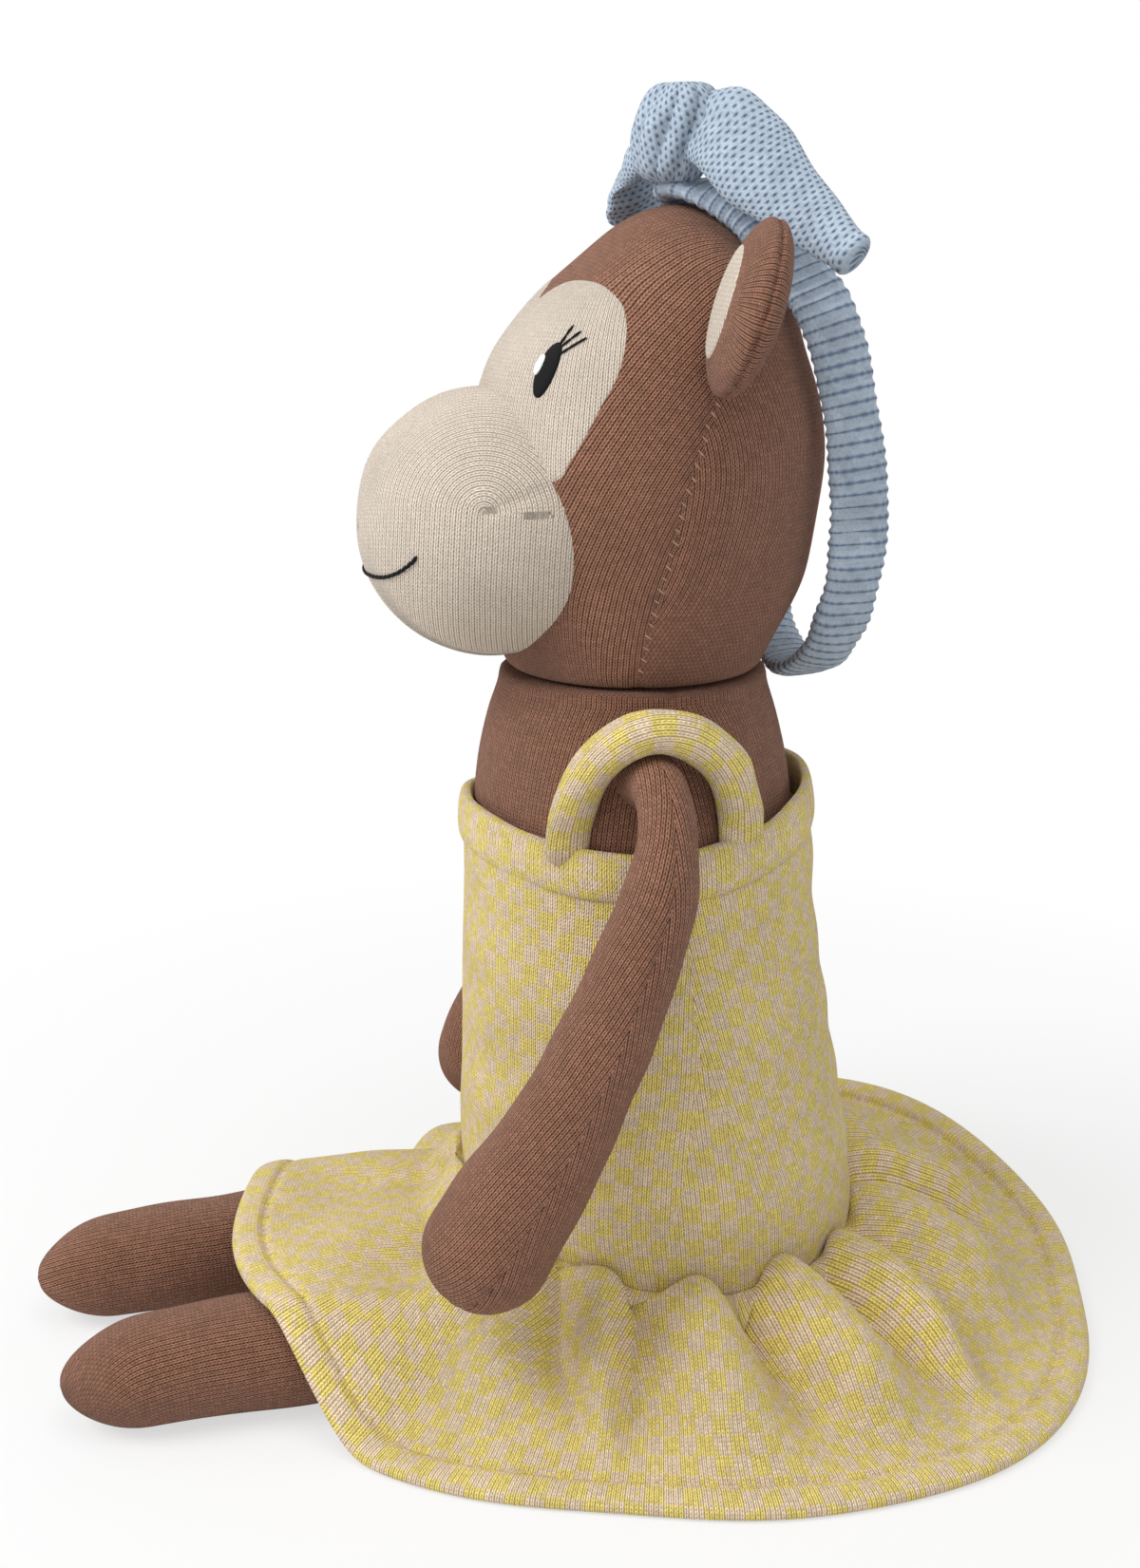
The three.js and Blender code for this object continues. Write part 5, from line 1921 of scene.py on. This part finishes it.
@dataclass
class Studio:
    """The floor, the light and the camera."""

    azimuth: float = 75.0
    pitch: float = 16.5
    distance: float = 0.56
    target: tuple[float, float, float] = (-0.0058, -0.029, 0.167)
    focal_share: float = 2000 / 1651

    def view_from(self) -> Vector:
        """Give the direction from the doll back to the camera."""
        a, e = math.radians(self.azimuth), math.radians(self.pitch)
        return Vector((math.sin(a) * math.cos(e), -math.cos(a) * math.cos(e), math.sin(e)))

    def build(self) -> None:
        """Set up the studio."""
        self.add_camera()
        self.add_floor()
        self.add_light()

    def add_camera(self) -> None:
        """Place the camera where the photograph was taken."""
        lens = bpy.data.cameras.new("photo_camera")
        camera = bpy.data.objects.new("photo_camera", lens)
        bpy.context.collection.objects.link(camera)
        lens.sensor_fit = "AUTO"
        lens.sensor_width = 36.0
        lens.lens = 36.0 * self.focal_share
        lens.clip_start = 0.02
        back = self.view_from()
        camera.location = Vector(self.target) + back * self.distance
        camera.rotation_euler = back.to_track_quat("Z", "Y").to_euler()
        bpy.context.scene.camera = camera

    def seen_white(
        self, graph: Graph, plain: bpy.types.NodeSocket, share: bpy.types.NodeSocket,
    ) -> bpy.types.NodeSocket:
        """Mix white into a shader where the camera, a gloss or a glass sees it."""
        path = graph.node("ShaderNodeLightPath")
        seen = path.outputs["Is Camera Ray"]
        for name in ("Is Glossy Ray", "Is Transmission Ray"):
            seen = graph.math("MAXIMUM", seen, path.outputs[name])
        white = graph.node("ShaderNodeEmission")
        white.inputs["Strength"].default_value = 1.0
        blend = graph.node("ShaderNodeMixShader")
        graph.feed(blend.inputs[0], graph.math("MULTIPLY", seen, share))
        graph.feed(blend.inputs[1], plain)
        graph.feed(blend.inputs[2], white.outputs[0])
        return blend.outputs[0]

    def add_floor(self) -> None:
        """Lay a plain pale floor that keeps the doll's shadow."""
        begin()
        bpy.ops.mesh.primitive_circle_add(vertices=96, radius=3.0, fill_type="NGON", location=(0, 0, -0.0003))
        floor = bpy.context.object
        floor.name = "studio_floor"
        bpy.ops.object.transform_apply(location=True)
        graph = Graph("pale_floor")
        graph.shader.inputs["Base Color"].default_value = (0.82, 0.82, 0.82, 1)
        graph.shader.inputs["Roughness"].default_value = 0.9
        out = graph.tree.nodes["Material Output"]
        place = graph.node("ShaderNodeTexCoord").outputs["Object"]
        away = graph.node("ShaderNodeVectorMath", operation="LENGTH")
        graph.feed(away.inputs[0], place)
        share = graph.fit(away.outputs["Value"], 0.16, 0.42, 0.62, 1.0)
        graph.feed(out.inputs["Surface"], self.seen_white(graph, graph.shader.outputs[0], share))
        floor.data.materials.append(graph.material)

    def add_light(self) -> None:
        """Light the doll softly from the front and above, with an even fill."""
        world = bpy.data.worlds.new("studio_world")
        bpy.context.scene.world = world
        world.use_nodes = True
        tree = world.node_tree
        tree.nodes.clear()
        path = tree.nodes.new("ShaderNodeLightPath")
        fill = tree.nodes.new("ShaderNodeBackground")
        fill.inputs["Strength"].default_value = 0.55
        white = tree.nodes.new("ShaderNodeBackground")
        white.inputs["Color"].default_value = (1, 1, 1, 1)
        white.inputs["Strength"].default_value = 1.0
        fill.inputs["Color"].default_value = (1, 1, 1, 1)
        seen = path.outputs["Is Camera Ray"]
        for name in ("Is Glossy Ray", "Is Transmission Ray"):
            most = tree.nodes.new("ShaderNodeMath")
            most.operation = "MAXIMUM"
            tree.links.new(seen, most.inputs[0])
            tree.links.new(path.outputs[name], most.inputs[1])
            seen = most.outputs[0]
        blend = tree.nodes.new("ShaderNodeMixShader")
        tree.links.new(seen, blend.inputs[0])
        tree.links.new(fill.outputs[0], blend.inputs[1])
        tree.links.new(white.outputs[0], blend.inputs[2])
        out = tree.nodes.new("ShaderNodeOutputWorld")
        tree.links.new(blend.outputs[0], out.inputs["Surface"])
        self.add_lamp("key_lamp", (0.15, -1.25, 1.25), 0.9, 17.0)
        self.add_lamp("top_lamp", (0.5, 0.1, 1.5), 1.0, 6.0)

    def add_lamp(self, name: str, place: tuple[float, float, float], size: float, power: float) -> None:
        """Hang a soft square lamp that points at the doll."""
        light = bpy.data.lights.new(name, "AREA")
        light.shape = "SQUARE"
        light.size = size
        light.energy = power
        lamp = bpy.data.objects.new(name, light)
        bpy.context.collection.objects.link(lamp)
        lamp.location = place
        aim = Vector(place) - Vector((0, -0.02, 0.16))
        lamp.rotation_euler = aim.to_track_quat("Z", "Y").to_euler()


def main() -> None:
    """Build every piece over the frame."""
    logging.basicConfig(level=logging.INFO, format="%(message)s")
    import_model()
    bpy.context.scene.view_settings.view_transform = "Standard"
    Studio().build()
    trunk = Trunk()
    trunk.build()
    face = Face()
    face.build()
    Arm(Side.LEFT, Body.ARM_LEFT, 0.0).build()
    Arm(Side.RIGHT, Body.ARM_RIGHT, 15.0).build()
    Leg(Side.LEFT, Body.LEG_LEFT).build()
    Leg(Side.RIGHT, Body.LEG_RIGHT).build()
    Dress(trunk).build()
    Headdress(face).build()
    STITCHER.put_away()


if __name__ == "__main__":
    main()
